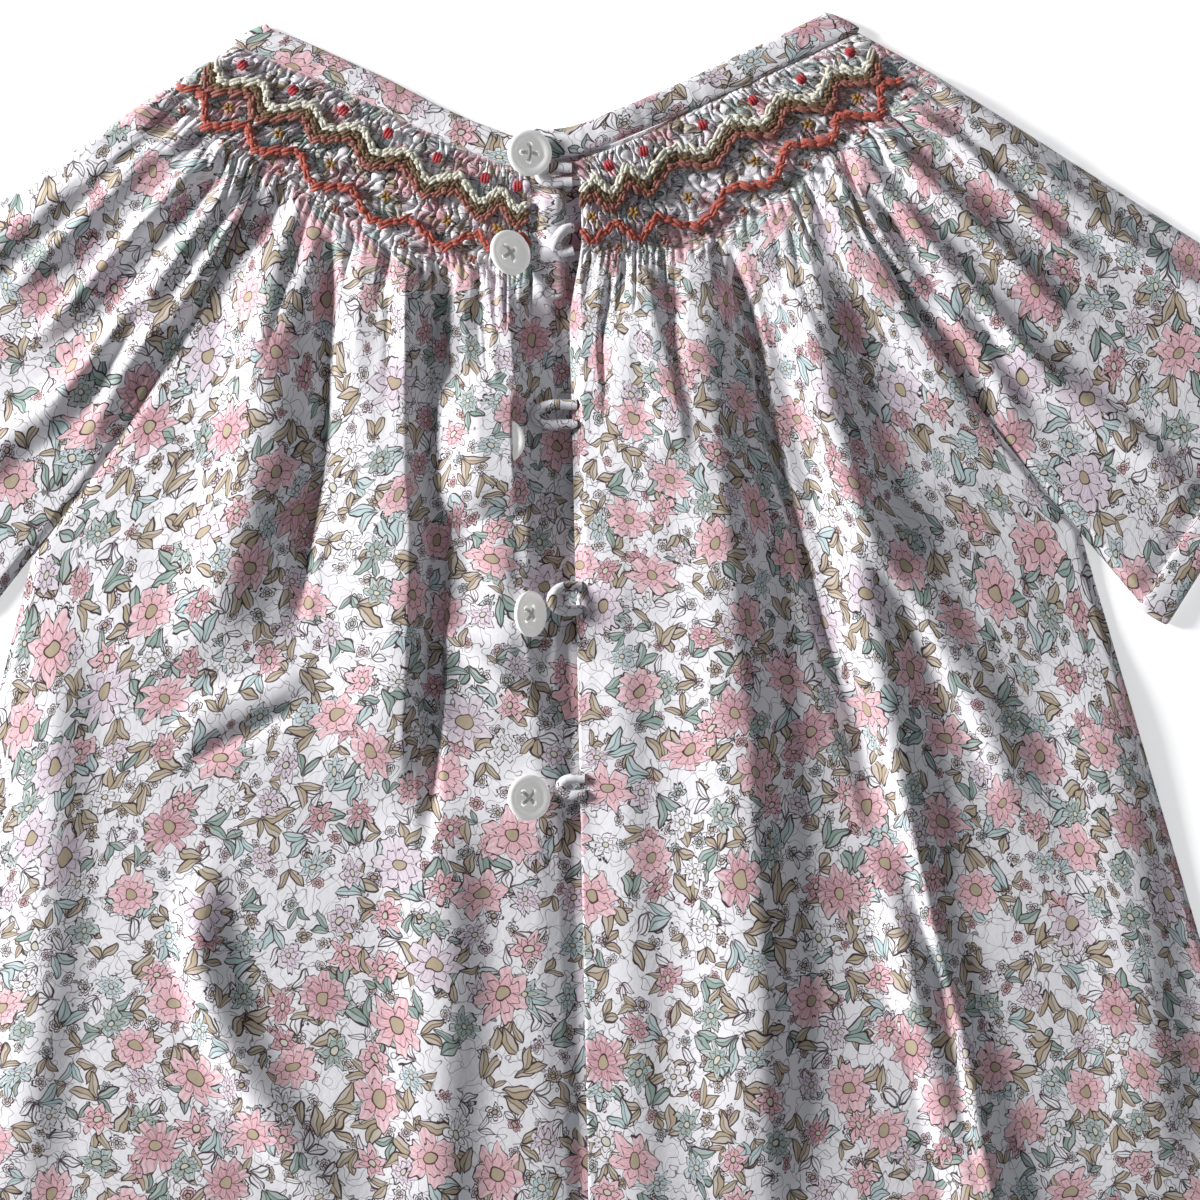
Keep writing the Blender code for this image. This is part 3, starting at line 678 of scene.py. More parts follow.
def build_cuff(name, side, material):
    sections = []

    def at(s, angle, wall):
        inner, outer = sleeve_end(s, CUFF + 0.2), sleeve_end(s, 0)
        inner, outer = (inner[0] * side, inner[1]), (outer[0] * side, outer[1])
        sections.append(strip_section(inner, outer, side, angle, wall, 0.0, s * 40 + angle))

    for k in range(33):
        at(k / 32, 90, 1.6)
    for angle in (60, 30, 0, -30, -60):
        at(1, angle, 1.35)
    for k in range(33):
        at(1 - k / 32, -90, 1.15)
    for angle in (240, 210, 180, 150, 120):
        at(0, angle, 1.35)
    return sweep(name, sections, True, material, (40 if side > 0 else 340, 700), 18)


# Small solids: stitches, cords and buttons
def tube(path, radii, around=8, caps=True):
    """Points and faces of a round tube along a path of 3-D points, in millimetres."""
    path, radii = np.asarray(path, float), np.asarray(radii, float)
    ahead = np.gradient(path, axis=0)
    ahead /= np.linalg.norm(ahead, axis=1, keepdims=True)
    up = np.array([0.0, 0.0, 1.0])
    side = np.cross(ahead, up)
    size = np.linalg.norm(side, axis=1, keepdims=True)
    side = np.where(size > 1e-6, side / np.maximum(size, 1e-6), np.array([1.0, 0, 0]))
    over = np.cross(side, ahead)
    a = 2 * np.pi * np.arange(around) / around
    ring = side[:, None, :] * np.cos(a)[None, :, None] + over[:, None, :] * np.sin(a)[None, :, None]
    points = (path[:, None, :] + ring * radii[:, None, None]).reshape(-1, 3)
    faces = []
    for i in range(len(path) - 1):
        for k in range(around):
            b = (k + 1) % around
            faces.append((i * around + k, i * around + b, (i + 1) * around + b, (i + 1) * around + k))
    if caps:
        first, last = len(points), len(points) + 1
        points = np.concatenate([points, path[:1], path[-1:]])
        base = (len(path) - 1) * around
        for k in range(around):
            b = (k + 1) % around
            faces.append((first, b, k, k))
            faces.append((last, base + k, base + b, base + b))
    return points, faces


def stitch(start, end, thick, arch=0.35):
    """A short plump stitch between two points."""
    start, end = np.asarray(start, float), np.asarray(end, float)
    f = np.linspace(0, 1, STITCH_RINGS)[:, None]
    path = start * (1 - f) + end * f
    path[:, 2] += arch * np.sin(np.pi * f[:, 0])
    radii = thick / 2 * (0.25 + 0.75 * np.sin(np.pi * np.linspace(0.05, 0.95, STITCH_RINGS)) ** 0.6)
    return tube(path, radii)


def joined(name, parts, material):
    """One object from many (points, faces), leaving out the doubled corners of the caps."""
    shape = bmesh.new()
    for points, faces in parts:
        made = [shape.verts.new((p[0] / 1000, (CENTRE_D - p[1]) / 1000, p[2] / 1000)) for p in points]
        for face in faces:
            corners = list(dict.fromkeys(face))
            shape.faces.new([made[k] for k in corners])
    bmesh.ops.recalc_face_normals(shape, faces=shape.faces)
    for face in shape.faces:
        face.smooth = True
    mesh = bpy.data.meshes.new(name)
    shape.to_mesh(mesh)
    shape.free()
    mesh.materials.append(material)
    obj = bpy.data.objects.new(name, mesh)
    bpy.context.scene.collection.objects.link(obj)
    return obj


class Yoke:
    """Finds points on the smocked yoke of one side by the embroidery's repeat and distance from the band."""

    def __init__(self, side):
        self.side = side
        q = np.linspace(0.0, 1.0, 400)
        s = np.linspace(0.0, 1.0, 240)
        xs = np.append(back_ray(q, 0.155)[0], sleeve_ray(s[1:], 0.155)[0])
        self.where = np.append(q, 1 + s[1:])
        self.phase = pleat_number(side, xs) / REPEAT_PLEATS
        self.first, self.last = self.phase[0], self.phase[-1]

    def depth(self, phase):
        w = float(np.interp(phase, self.phase, self.where))
        return float(depth_of(w)) if w <= 1 else float(sleeve_depth(w - 1))

    def at(self, phase, p, rise=0.0):
        if self.side > 0:
            phase -= 0.16 * float(step(5.0, 10.0, p))
        w = float(np.interp(phase, self.phase, self.where))
        depth = self.depth(phase)
        leg = p / depth if p <= depth else 1 + (p - depth) / 74
        x, d = back_ray(w, leg) if w <= 1 else sleeve_ray(w - 1, leg)
        x, d = float(x), float(dropped(self.side, x, d))
        top = FLAT_Z + 1.9
        if w <= 1 and self.side > 0:
            x += float(bulge(x, d))
            top += float(lap_lift(x, d))
        if w > 1:
            fx, fd = (float(v) for v in sleeve_ray(1.0, p / SHOULDER_DEPTH))
            r = min(math.hypot(x - fx, d - fd) / 2.6, 1)
            top = lerp(1.3, top, math.sqrt(1 - (1 - r) ** 2))
        return np.array([x * self.side, d, top + rise])


def zigzag(phase):
    """1 at whole repeats, -1 half way between, a little rounded at the turns."""
    share = 1 - 4 * abs(phase - round(phase))
    return 0.75 * share + 0.25 * math.sin(share * math.pi / 2)


def cable(yoke, row, swing, thick, seed):
    """Rope-like stitches along a zigzag, one to each pleat and a little over, laid crosswise in turn, each
    of two strands. row is a distance from the band and a share of the smocking's depth, which add up."""
    parts = []
    first = math.ceil(yoke.first * REPEAT_PLEATS + 0.4)
    last = math.floor(yoke.last * REPEAT_PLEATS - 1.2)
    for k in range(math.ceil((last - first) * STITCHES)):
        loose = hashed(np.array([5 * k, 5 * k + 1, 5 * k + 2, 5 * k + 3, 5 * k + 4]), seed) - 0.5
        a = (first + k / STITCHES - 0.2 + 0.3 * loose[0]) / REPEAT_PLEATS
        b = (first + k / STITCHES + 1.0 + 0.3 * loose[1]) / REPEAT_PLEATS
        middle = row_at(yoke, row, (a + b) / 2)
        tilt = 0.95 if k % 2 else -0.25
        jog = 0.7 * loose[2]
        p, r = middle + swing * zigzag(a) - tilt + jog, middle + swing * zigzag(b) + tilt + jog
        start, end = yoke.at(a, p, -0.2), yoke.at(b, r, 0.1 + 0.5 * loose[0])
        ahead = (end - start) / np.linalg.norm(end - start)
        aside = np.array([-ahead[1], ahead[0], 0.0]) * thick * 0.26
        for half in (-1, 1):
            fat = thick * (0.66 + 0.25 * loose[3])
            parts.append(stitch(start + aside * half, end + aside * half, fat, 0.7 + 0.3 * loose[4] * half))
    return parts


def row_at(yoke, row, phase):
    """Distance from the band of a row of stitches, which closes up where the smocking is shallow."""
    depth = yoke.depth(phase)
    return row[0] * min(1.0, depth / 25) + row[1] * depth


def knots(yoke, start):
    """Plump bullion knots, each of three wound stitches side by side."""
    parts = []
    for n in range(math.ceil(yoke.first + 0.05), math.floor(yoke.last - 0.12) + 1):
        p = row_at(yoke, start, n)
        mid, end = yoke.at(n, p), yoke.at(n, p + 1)
        along = (end - mid) / np.linalg.norm(end - mid)
        across = np.array([-along[1], along[0], 0])
        for k, off in enumerate((-0.62, 0.0, 0.62)):
            long = 1.25 if k == 1 else 1.0
            place = mid + across * off
            path = [place - along * long, mid + across * off * 1.25, place + along * long]
            f = np.linspace(0, 1, 13)[:, None]
            line = (1 - f) ** 2 * path[0] + 2 * f * (1 - f) * path[1] + f**2 * path[2]
            line[:, 2] += 0.3 + 0.4 * np.sin(np.pi * f[:, 0])
            wound = 1 + 0.16 * np.cos(np.arange(13) * math.pi)
            radii = 0.46 * (0.75 + 0.25 * np.sin(np.pi * f[:, 0])) * wound
            parts.append(tube(line, radii))
    return parts


def tiny_flowers(yoke, start, half, petals=5, size=1.5):
    parts = []
    low, high = math.ceil(yoke.first + 0.1 - half), math.floor(yoke.last - 0.15 - half)
    for n in range(low, high + 1):
        mid = yoke.at(n + half, row_at(yoke, start, n + half), 0.25)
        turn = 2 * math.pi * float(hashed(n, 9))
        for k in range(petals):
            a = turn + 2 * math.pi * k / petals
            out = np.array([math.cos(a), math.sin(a), 0.0])
            parts.append(stitch(mid + out * 0.12, mid + out * size, 0.85, 0.35))
    return parts


def build_embroidery(materials):
    """One object for each thread, with all its stitches on both sides."""
    jobs = {"cream": [], "olive": [], "rust": [], "orange": [], "mustard": [], "red": []}
    for side in (1, -1):
        yoke = Yoke(side)
        for thread, row, swing, thick, seed in CABLES:
            jobs[thread] += cable(yoke, row, swing, thick, seed)
        jobs["mustard"] += tiny_flowers(yoke, (-1.2, 0.68), 0.5)
        jobs["red"] += knots(yoke, (4.9, 0.0))
        jobs["rust"] += tiny_flowers(yoke, (1.0, 0.9), 0.0, 4, 1.2)
    return [joined(f"smocking_{key}", parts, materials[key]) for key, parts in jobs.items()]


def leaned(points, x, d, base, lean_x, lean_d):
    p = np.asarray(points, float)
    ax, ad = math.radians(lean_x), math.radians(lean_d)
    px, pz = p[:, 0] * math.cos(ax) + p[:, 2] * math.sin(ax), p[:, 2] * math.cos(ax) - p[:, 0] * math.sin(ax)
    pd, pz = p[:, 1] * math.cos(ad) - pz * math.sin(ad), pz * math.cos(ad) + p[:, 1] * math.sin(ad)
    return np.stack([x + px, d + pd, base + pz], axis=1)


BUTTON_PROFILE = (
    (0.0, 0.0), (3.6, 0.0), (4.6, 0.35), (5.3, 0.95), (5.5, 1.45), (5.42, 1.85), (5.1, 2.12), (4.55, 2.2),
    (4.0, 2.08), (3.65, 1.8), (3.4, 1.5), (2.8, 1.36), (1.4, 1.3), (0.0, 1.3),
)
HOLE_OUT = 1.9
HOLE_R = 0.72
HOLE_SIDES = 16
BUTTON_SIDES = 64


def build_button(name, row, material):
    """Lathed shell disc with a raised rim, a sunk middle and four holes."""
    x, d, base, lean_x, lean_d, spin = row
    turns = BUTTON_SIDES
    inner = BUTTON_PROFILE[1:-1]
    angles = 2 * np.pi * np.arange(turns) / turns
    points = [(r * math.cos(a), r * math.sin(a), z) for a in angles for r, z in inner]
    count = len(inner)
    faces = []
    for i in range(turns):
        j = (i + 1) % turns
        a, b = i * count, j * count
        faces += [(a + k, b + k, b + k + 1, a + k + 1) for k in range(count - 1)]
    top, bottom = [i * count + count - 1 for i in range(turns)], [i * count for i in range(turns)]
    mesh = bpy.data.meshes.new(name)
    placed_points = placed(*leaned(points, x, d, base, lean_x, lean_d).T)
    mesh.from_pydata([tuple(p) for p in placed_points], [], faces + [tuple(top), tuple(bottom)])
    mesh.materials.append(material)
    obj = bpy.data.objects.new(name, mesh)
    bpy.context.scene.collection.objects.link(obj)
    face_outwards(obj)
    cutters = []
    for k in range(4):
        a = math.radians(spin + 90 * k)
        hx, hd = HOLE_OUT * math.cos(a), HOLE_OUT * math.sin(a)
        ring = [
            (hx + HOLE_R * math.cos(b), hd + HOLE_R * math.sin(b), z)
            for z in (-1.0, 3.0)
            for b in 2 * np.pi * np.arange(HOLE_SIDES) / HOLE_SIDES
        ]
        n = HOLE_SIDES
        sides = [(i, (i + 1) % n, n + (i + 1) % n, n + i) for i in range(n)]
        tool = bpy.data.meshes.new(f"{name}_tool")
        spots = placed(*leaned(ring, x, d, base, lean_x, lean_d).T)
        ends = [tuple(range(n - 1, -1, -1)), tuple(range(n, 2 * n))]
        tool.from_pydata([tuple(p) for p in spots], [], sides + ends)
        cutter = bpy.data.objects.new(f"{name}_tool_{k}", tool)
        bpy.context.scene.collection.objects.link(cutter)
        face_outwards(cutter)
        cut = obj.modifiers.new(f"hole_{k}", "BOOLEAN")
        cut.operation, cut.solver, cut.object = "DIFFERENCE", "EXACT", cutter
        cutters.append(cutter)
    shown = obj.evaluated_get(bpy.context.evaluated_depsgraph_get())
    cut_mesh = bpy.data.meshes.new_from_object(shown)
    obj.modifiers.clear()
    obj.data = cut_mesh
    for cutter in cutters:
        bpy.data.objects.remove(cutter)
    for polygon in obj.data.polygons:
        polygon.use_smooth = True
    obj.data.set_sharp_from_angle(angle=math.radians(38))
    return obj


def button_thread(row):
    """Two crossing threads through the four holes, and the shank under the button."""
    x, d, base, lean_x, lean_d, spin = row
    parts = []
    for k in range(2):
        for off in (-0.22, 0.22):
            a = math.radians(spin + 90 * k)
            ux, ud = math.cos(a), math.sin(a)
            line = [
                (f * HOLE_OUT * ux - off * ud, f * HOLE_OUT * ud + off * ux, z + 0.15 * k * (z > 1.6))
                for f, z in ((-1, 0.9), (-0.72, 1.6), (0, 1.8), (0.72, 1.6), (1, 0.9))
            ]
            parts.append(tube(leaned(line, x, d, base, lean_x, lean_d), [0.24] * 5, 6))
    shank = leaned([(0, 0, -1.6), (0, 0, -0.6), (0, 0, 0.6)], x, d, base, lean_x, lean_d)
    parts.append(tube(shank, [1.0, 0.75, 0.9], 10))
    return parts


def build_loop(name, row, material):
    """Fabric tube from the folded edge out and back, bent aside and squeezed by its twist."""
    d, reach, spread, root, tip, twist = row
    turns = 40
    f = np.linspace(0, 1, turns + 1)
    a = np.pi * f
    wide = spread / 2 * (1 + 0.3 * np.sin(a))
    squeeze = 1 - 0.55 * twist * np.sin(a) ** 2
    path = np.stack(
        [
            PLACKET + 1.2 - (reach + 1.2) * np.sin(a) ** 0.75,
            d - wide * np.cos(a) * squeeze + twist * 1.5 * np.sin(a),
            lerp(root, tip, np.sin(a)) + twist * 0.8 * np.sin(2 * a),
        ],
        axis=1,
    )
    radii = 1.3 * (1 + 0.05 * wander(f * 14, d)) * np.where(np.sin(a) > 0.3, 1, 0.94)
    around = 14
    points, faces = tube(path, radii, around, caps=False)
    run = np.append(0, np.cumsum(np.linalg.norm(np.diff(path, axis=0), axis=1)))
    u = np.repeat(run, around)
    v = np.tile(np.arange(around) * 7.5 / around, turns + 1)
    uv = np.stack([(u + d * 9) / 1000, (v + 760) / 1000], axis=1)
    obj = mesh_object(name, placed(*np.asarray(points).T), faces, material, uv)
    face_outwards(obj)
    return obj


# Shading
class Nodes:
    """Short ways to add and join shader nodes."""

    def __init__(self, tree):
        self.tree = tree

    def add(self, kind, **settings):
        node = self.tree.nodes.new(kind)
        for key, value in settings.items():
            setattr(node, key, value)
        return node

    def feed(self, socket, value):
        if isinstance(value, bpy.types.NodeSocket):
            self.tree.links.new(value, socket)
        else:
            socket.default_value = value

    def math(self, operation, a, b=None, c=None, clamp=False):
        node = self.add("ShaderNodeMath", operation=operation, use_clamp=clamp)
        for socket, value in zip(node.inputs, (a, b, c)):
            if value is not None:
                self.feed(socket, value)
        return node.outputs[0]

    def times(self, a, b, clamp=False):
        return self.math("MULTIPLY", a, b, clamp=clamp)

    def plus(self, a, b):
        return self.math("ADD", a, b)

    def minus(self, a, b):
        return self.math("SUBTRACT", a, b)

    def over(self, a, b):
        return self.math("DIVIDE", a, b)

    def most(self, a, b):
        return self.math("MAXIMUM", a, b)

    def size(self, a):
        return self.math("ABSOLUTE", a)

    def vector(self, operation, a, b=None, scale=None):
        node = self.add("ShaderNodeVectorMath", operation=operation)
        self.feed(node.inputs[0], a)
        if b is not None:
            self.feed(node.inputs[1], b)
        if scale is not None:
            self.feed(node.inputs["Scale"], scale)
        return node.outputs[0]

    def split(self, value):
        node = self.add("ShaderNodeSeparateXYZ")
        self.feed(node.inputs[0], value)
        return node.outputs

    def join(self, x, y, z=0.0):
        node = self.add("ShaderNodeCombineXYZ")
        for socket, value in zip(node.inputs, (x, y, z)):
            self.feed(socket, value)
        return node.outputs[0]

    def random(self, cell, seed):
        node = self.add("ShaderNodeTexWhiteNoise", noise_dimensions="2D")
        self.feed(node.inputs["Vector"], self.vector("ADD", cell, (seed, seed * 1.7, 0)))
        return self.split(node.outputs["Color"])

    def below(self, value, edge, soft=0.06):
        """1 where the value is under the edge, with a soft border."""
        node = self.add("ShaderNodeMapRange", interpolation_type="LINEAR", clamp=True)
        self.feed(node.inputs["Value"], value)
        self.feed(node.inputs["From Min"], edge - soft)
        self.feed(node.inputs["From Max"], edge + soft)
        node.inputs["To Min"].default_value = 1.0
        node.inputs["To Max"].default_value = 0.0
        return node.outputs["Result"]

    def mix(self, share, a, b):
        node = self.add("ShaderNodeMix", data_type="RGBA")
        self.feed(node.inputs["Factor"], share)
        self.feed(node.inputs[6], a if isinstance(a, bpy.types.NodeSocket) else (*linear(a), 1))
        self.feed(node.inputs[7], b if isinstance(b, bpy.types.NodeSocket) else (*linear(b), 1))
        return node.outputs[2]

    def palette(self, share, colours):
        node = self.add("ShaderNodeValToRGB")
        ramp = node.color_ramp
        ramp.interpolation = "CONSTANT"
        for k, colour in enumerate(colours):
            spot = ramp.elements[k] if k < 2 else ramp.elements.new(k / len(colours))
            spot.position = k / len(colours)
            spot.color = (*linear(colour), 1)
        self.feed(node.inputs[0], share)
        return node.outputs[0]


def cell_of(n, place, size, shift, turn, seed):
    """Local millimetres about a motif that sits loosely in each cell of a turned grid, and random numbers."""
    rotate = n.add("ShaderNodeVectorRotate", rotation_type="Z_AXIS")
    n.feed(rotate.inputs["Vector"], n.vector("ADD", place, shift))
    rotate.inputs["Angle"].default_value = math.radians(turn)
    scaled = n.vector("SCALE", rotate.outputs[0], scale=1 / size)
    cell = n.vector("FLOOR", scaled)
    inside = n.vector("SUBTRACT", n.vector("FRACTION", scaled), (0.5, 0.5, 0))
    one = n.random(cell, seed)
    two = n.random(cell, seed + 31.3)
    return inside, one, two


def local(n, inside, one, size, loose, spin):
    centre = n.vector("SCALE", n.vector("SUBTRACT", n.join(one[0], one[1]), (0.5, 0.5, 0)), scale=loose)
    offset = n.vector("SCALE", n.vector("SUBTRACT", inside, centre), scale=size)
    rotate = n.add("ShaderNodeVectorRotate", rotation_type="Z_AXIS")
    n.feed(rotate.inputs["Vector"], offset)
    n.feed(rotate.inputs["Angle"], n.times(spin, 2 * math.pi))
    flat = n.split(rotate.outputs[0])
    return flat[0], flat[1]


def outline_of(n, gap, wide):
    return n.below(n.size(gap), wide)


def blossom(n, place, size, shift, turn, seed, radius, loose, petals, pointed, chance, colours,
            heart, centre):
    """A round flower: petals about a heart, with outlines, lines between the petals and short strokes."""
    inside, one, two = cell_of(n, place, size, shift, turn, seed)
    x, y = local(n, inside, one, size, loose, one[2])
    grow = n.math("MULTIPLY_ADD", two[0], 0.32, 0.8)
    x, y = n.over(x, grow), n.over(y, n.math("MULTIPLY_ADD", two[1], 0.3, 0.7))
    r = n.math("SQRT", n.plus(n.times(x, x), n.times(y, y)))
    angle = n.math("ARCTAN2", y, x)
    count = n.plus(n.math("FLOOR", n.times(one[0], 2.99)), petals)
    wave = n.size(n.math("COSINE", n.times(n.times(angle, count), 0.5)))
    lobe = n.math("POWER", wave, n.math("MULTIPLY_ADD", two[0], 1.3 * pointed, 0.4 * pointed))
    notch = n.times(n.math("COSINE", n.times(angle, petals * 3)), 0.05)
    edge = n.times(n.plus(n.math("MULTIPLY_ADD", lobe, 0.45, 0.55), notch), radius)
    gap = n.minus(r, edge)
    there = n.math("LESS_THAN", two[2], chance)
    fill = n.times(n.below(gap, 0.0), there)
    middle = n.minus(r, radius * heart)
    vein = n.below(n.times(wave, r), 0.26)
    hatch = n.size(n.math("SINE", n.times(angle, petals * 2)))
    stroke = n.times(n.below(n.times(hatch, r), 0.22), n.below(r, radius * 0.55))
    vein = n.most(vein, n.times(stroke, 0.6))
    vein = n.times(n.times(vein, n.below(gap, -0.1)), n.math("GREATER_THAN", middle, 0.0))
    nested = outline_of(n, n.minus(r, n.times(edge, 0.62)), 0.11)
    line = n.most(outline_of(n, gap, 0.15), n.most(outline_of(n, middle, 0.13), nested))
    line = n.times(n.most(line, n.times(vein, 0.8)), there)
    base = n.palette(two[1], colours)
    pale = n.math("MULTIPLY_ADD", n.times(hatch, n.over(r, radius)), 0.62, 0.06, clamp=True)
    colour = n.mix(pale, base, GROUND)
    colour = n.mix(n.below(middle, 0.0), colour, centre)
    return fill, line, colour


def sprig(n, place, size, shift, turn, seed, long, wide, loose, open_by, chance, colours):
    """A pair of veined, pointed leaves that open from one stem."""
    inside, one, two = cell_of(n, place, size, shift, turn, seed)
    x, y = local(n, inside, one, size, loose, one[2])
    grow = n.math("MULTIPLY_ADD", two[0], 0.45, 0.72)
    x, y = n.over(x, grow), n.size(n.over(y, grow))
    stem = n.times(n.below(y, 0.09), n.below(x, -long * 0.1))
    cos_open, sin_open = math.cos(math.radians(open_by)), math.sin(math.radians(open_by))
    x = n.plus(x, long * 0.3)
    lx = n.plus(n.times(x, cos_open), n.times(y, sin_open))
    ly = n.minus(n.times(y, cos_open), n.times(x, sin_open))
    lx = n.minus(lx, long / 2)
    ly = n.minus(ly, n.times(n.times(lx, lx), 0.05))
    share = n.over(n.size(lx), long / 2)
    half = n.times(n.minus(1.0, n.math("POWER", share, 1.9)), wide / 2)
    gap = n.minus(n.size(ly), half)
    there = n.math("LESS_THAN", two[2], chance)
    fill = n.times(n.below(gap, 0.0), there)
    line = n.times(outline_of(n, gap, 0.14), n.below(share, 1.1))
    rib = n.times(n.below(n.size(ly), 0.1), n.below(gap, 0.1))
    line = n.most(line, n.times(rib, 0.8))
    stem = n.times(stem, n.below(n.size(x), long * 0.4))
    line = n.times(n.most(line, n.times(stem, 0.8)), there)
    base = n.palette(two[1], colours)
    colour = n.mix(n.times(n.math("GREATER_THAN", ly, 0.0), 0.25), base, GROUND)
    return fill, line, colour


def print_colour(n, place, most):
    """All-over floral print: motifs in layers over a cool white ground, each drawn over those before it.
    most is the number of layers, the smallest motifs first."""
    bend = n.add("ShaderNodeTexNoise", noise_dimensions="2D")
    n.feed(bend.inputs["Vector"], place)
    settle(bend, {"Scale": 0.22, "Detail": 1.0})
    sway = n.vector("SCALE", n.vector("SUBTRACT", bend.outputs["Color"], (0.5, 0.5, 0.5)), scale=2.4)
    place = n.vector("ADD", place, sway)
    curl = n.size(n.minus(n.split(bend.outputs["Color"])[0], 0.47))
    stem = n.below(curl, 0.008, 0.005)
    twig = n.size(n.minus(n.split(bend.outputs["Color"])[1], 0.53))
    stem = n.most(stem, n.below(twig, 0.008, 0.005))
    colour = n.mix(n.times(stem, 0.8), GROUND, LINE)
    small = (GROUND, PINK, GROUND, LILAC, GROUND, EGG, GROUND, KHAKI)
    green = (KHAKI, SAGE, KHAKI, GROUND, KHAKI, GROUND, KHAKI)
    star = (EGG, LILAC, ROSE, GROUND, SAGE, PINK)
    large = (PINK, PINK, ROSE, PINK, LILAC)
    leafy = (SAGE, KHAKI, EGG, KHAKI)
    layers = (
        lambda: blossom(n, place, 5.3, (1.3, 0.4, 0), 17, 3.0, 1.6, 0.36, 5, 0.7, 0.72, small, 0.3, KHAKI),
        lambda: sprig(n, place, 6.9, (3.1, 8.2, 0), -28, 7.0, 4.4, 1.7, 0.3, 34, 0.78, green),
        lambda: sprig(n, place, 8.3, (5.7, 2.9, 0), 41, 11.0, 6.0, 2.2, 0.3, 24, 0.82, leafy),
        lambda: blossom(n, place, 9.6, (2.2, 5.1, 0), 8, 19.0, 3.7, 0.32, 6, 1.5, 0.66, star, 0.2, CREAM),
        lambda: blossom(n, place, 16.0, (8.8, 3.7, 0), 29, 37.0, 6.2, 0.34, 6, 0.8, 0.62, large, 0.24, KHAKI),
    )
    for layer in layers[:most]:
        fill, line, motif = layer()
        colour = n.mix(fill, colour, motif)
        colour = n.mix(line, colour, LINE)
    return colour


def settle(node, values):
    """Sets the plain values of a node's sockets by name."""
    for name, value in values.items():
        node.inputs[name].default_value = value


def new_material(name):
    material = bpy.data.materials.new(name)
    material.use_nodes = True
    return material, Nodes(material.node_tree), material.node_tree.nodes["Principled BSDF"]


def lawn_material(name, most):
    """Printed cotton lawn: fine plain weave, matt with a little sheen."""
    material, n, shader = new_material(name)
    uv = n.add("ShaderNodeUVMap", uv_map="cloth")
    place = n.vector("SCALE", uv.outputs[0], scale=1000.0 / PRINT_SCALE)
    n.feed(shader.inputs["Base Color"], print_colour(n, place, most))
    settle(shader, {
        "Roughness": 0.86,
        "Specular IOR Level": 0.25,
        "Sheen Weight": 0.18,
        "Sheen Roughness": 0.5,
    })
    weave = n.add("ShaderNodeTexChecker")
    n.feed(weave.inputs["Vector"], place)
    weave.inputs["Scale"].default_value = 3.2
    slub = n.add("ShaderNodeTexNoise", noise_dimensions="2D")
    n.feed(slub.inputs["Vector"], place)
    settle(slub, {"Scale": 0.9, "Detail": 2.0})
    height = n.math("MULTIPLY_ADD", weave.outputs["Fac"], 0.12, slub.outputs["Fac"])
    bump = n.add("ShaderNodeBump")
    settle(bump, {"Strength": 0.35, "Distance": 0.0002})
    n.feed(bump.inputs["Height"], height)
    n.feed(shader.inputs["Normal"], bump.outputs[0])
    return material


def thread_material(name, colour):
    """Stranded cotton: a soft gloss and fine strands."""
    material, n, shader = new_material(name)
    settle(shader, {"Base Color": (*linear(colour), 1), "Roughness": 0.6, "Sheen Weight": 0.3})
    spot = n.add("ShaderNodeNewGeometry")
    strand = n.add("ShaderNodeTexNoise")
    n.feed(strand.inputs["Vector"], spot.outputs["Position"])
    settle(strand, {"Scale": 2600.0, "Detail": 1.0})
    bump = n.add("ShaderNodeBump")
    settle(bump, {"Strength": 0.8, "Distance": 0.00025})
    n.feed(bump.inputs["Height"], strand.outputs["Fac"])
    n.feed(shader.inputs["Normal"], bump.outputs[0])
    return material


def shell_material():
    """Mother-of-pearl: white, glossy, with a faint cloudy play of colour, and a faint painted glow."""
    material, n, shader = new_material("shell")
    spot = n.add("ShaderNodeNewGeometry")
    cloudy = n.add("ShaderNodeTexNoise")
    n.feed(cloudy.inputs["Vector"], spot.outputs["Position"])
    settle(cloudy, {"Scale": 420.0, "Detail": 3.0})
    n.feed(shader.inputs["Base Color"], n.mix(cloudy.outputs["Fac"], (0.99, 0.99, 0.97), (0.92, 0.925, 0.93)))
    # Painted light: the shell glows faintly, though it is no lamp, to keep the buttons bright.
    settle(shader, {"Emission Color": (1.0, 0.99, 0.96, 1), "Emission Strength": 0.22})
    material.cycles.emission_sampling = "NONE"
    settle(shader, {
        "Roughness": 0.2,
        "Coat Weight": 0.5,
        "Coat Roughness": 0.08,
        "Subsurface Weight": 0.15,
        "Subsurface Radius": (0.001, 0.001, 0.001),
    })
    return material


def plain_material(name, colour, roughness):
    material, _, shader = new_material(name)
    settle(shader, {"Base Color": (*linear(colour), 1), "Roughness": roughness})
    return material


# Stage
def build_stage():
    mesh = bpy.data.meshes.new("floor")
    mesh.from_pydata([(-3, -3, 0), (3, -3, 0), (3, 3, 0), (-3, 3, 0)], [], [(0, 1, 2, 3)])
    pale = plain_material("floor", (0.97, 0.972, 0.975), 0.8)
    pale.node_tree.nodes["Principled BSDF"].inputs["Emission Color"].default_value = (1, 1, 1, 1)
    pale.node_tree.nodes["Principled BSDF"].inputs["Emission Strength"].default_value = 0.5
    pale.cycles.emission_sampling = "NONE"
    mesh.materials.append(pale)
    floor = bpy.data.objects.new("floor", mesh)
    bpy.context.scene.collection.objects.link(floor)


def add_light(name, place, aim, size, power, colour):
    data = bpy.data.lights.new(name, "AREA")
    data.size, data.energy, data.color = size, power, colour
    light = bpy.data.objects.new(name, data)
    light.location = place
    light.rotation_euler = (aim - light.location).to_track_quat("-Z", "Y").to_euler()
    bpy.context.scene.collection.objects.link(light)


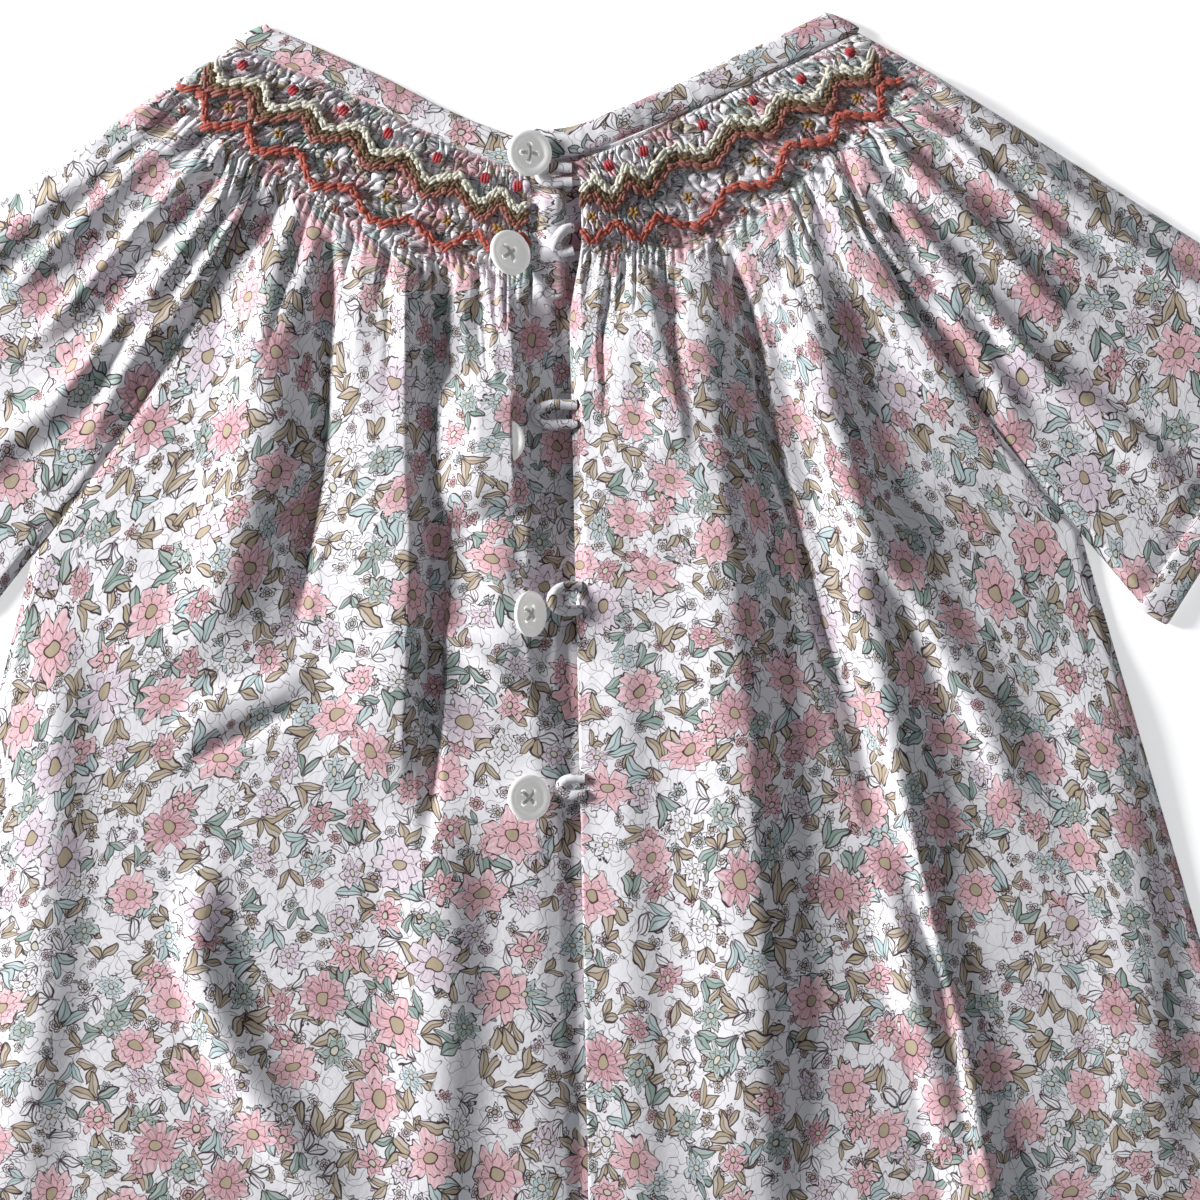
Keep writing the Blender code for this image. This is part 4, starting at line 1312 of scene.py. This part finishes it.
def build_light():
    aim = Vector((0, 0.03, 0))
    add_light("key", Vector((-1.25, 0.47, 0.50)), aim, 0.35, 36.0, (1.0, 0.99, 0.975))
    add_light("fill", Vector((0.9, -0.3, 1.2)), aim, 1.2, 0.9, (0.93, 0.96, 1.0))
    world = bpy.data.worlds.new("studio")
    world.use_nodes = True
    world.node_tree.nodes["Background"].inputs[0].default_value = (0.93, 0.96, 1.0, 1)
    world.node_tree.nodes["Background"].inputs[1].default_value = 0.19
    bpy.context.scene.world = world


def build_camera():
    """Straight above, turned a little, framed as the photo: 286 mm of cloth across."""
    data = bpy.data.cameras.new("camera")
    high = 0.75
    data.sensor_width = 36
    data.lens = 36 * high / 0.2857
    data.dof.use_dof = False
    camera = bpy.data.objects.new("camera", data)
    camera.location = (0.01004, (CENTRE_D - 112.14) / 1000, high + 0.004)
    camera.rotation_euler = (0, 0, math.radians(-1.2))
    bpy.context.scene.collection.objects.link(camera)
    bpy.context.scene.camera = camera


def main():
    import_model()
    lawn = lawn_material("cotton_lawn", 5)
    bias = lawn_material("cotton_lawn_bias", 2)
    threads = {
        "cream": thread_material("thread_cream", CREAM),
        "olive": thread_material("thread_olive", OLIVE),
        "rust": thread_material("thread_rust", RUST),
        "orange": thread_material("thread_orange", ORANGE),
        "mustard": thread_material("thread_mustard", MUSTARD),
        "red": thread_material("thread_red", RED),
        "white": thread_material("thread_white", (0.93, 0.93, 0.91)),
    }
    shell = shell_material()
    cloth = {
        "front": build_front("cloth_front", lawn),
        "back_left": build_back("cloth_back_left", -1, lawn),
        "back_right": build_back("cloth_back_right", 1, lawn),
        "sleeve_left": build_sleeve("cloth_sleeve_left", -1, lawn),
        "sleeve_right": build_sleeve("cloth_sleeve_right", 1, lawn),
        "neck_band": build_neck_band(lawn),
        "cuff_left": build_cuff("binding_left", -1, lawn),
        "cuff_right": build_cuff("binding_right", 1, lawn),
    }
    for node, obj in cloth.items():
        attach(obj, "root")
        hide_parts(node)
    for k, row in enumerate(LOOPS, 1):
        obj = build_loop(f"cord_{k}", row, bias)
        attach(obj, "root")
        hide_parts(f"loop_{k}")
    stitching = []
    for k, row in enumerate(BUTTONS, 1):
        obj = build_button(f"shell_{k}", row, shell)
        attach(obj, "root")
        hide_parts(f"button_{k}")
        stitching += button_thread(row)
    sewn = build_embroidery(threads) + [joined("button_threads", stitching, threads["white"])]
    for obj in sewn:
        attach(obj, "root")
    build_stage()
    build_light()
    build_camera()
    scene = bpy.context.scene
    scene.view_settings.view_transform = "Standard"


main()
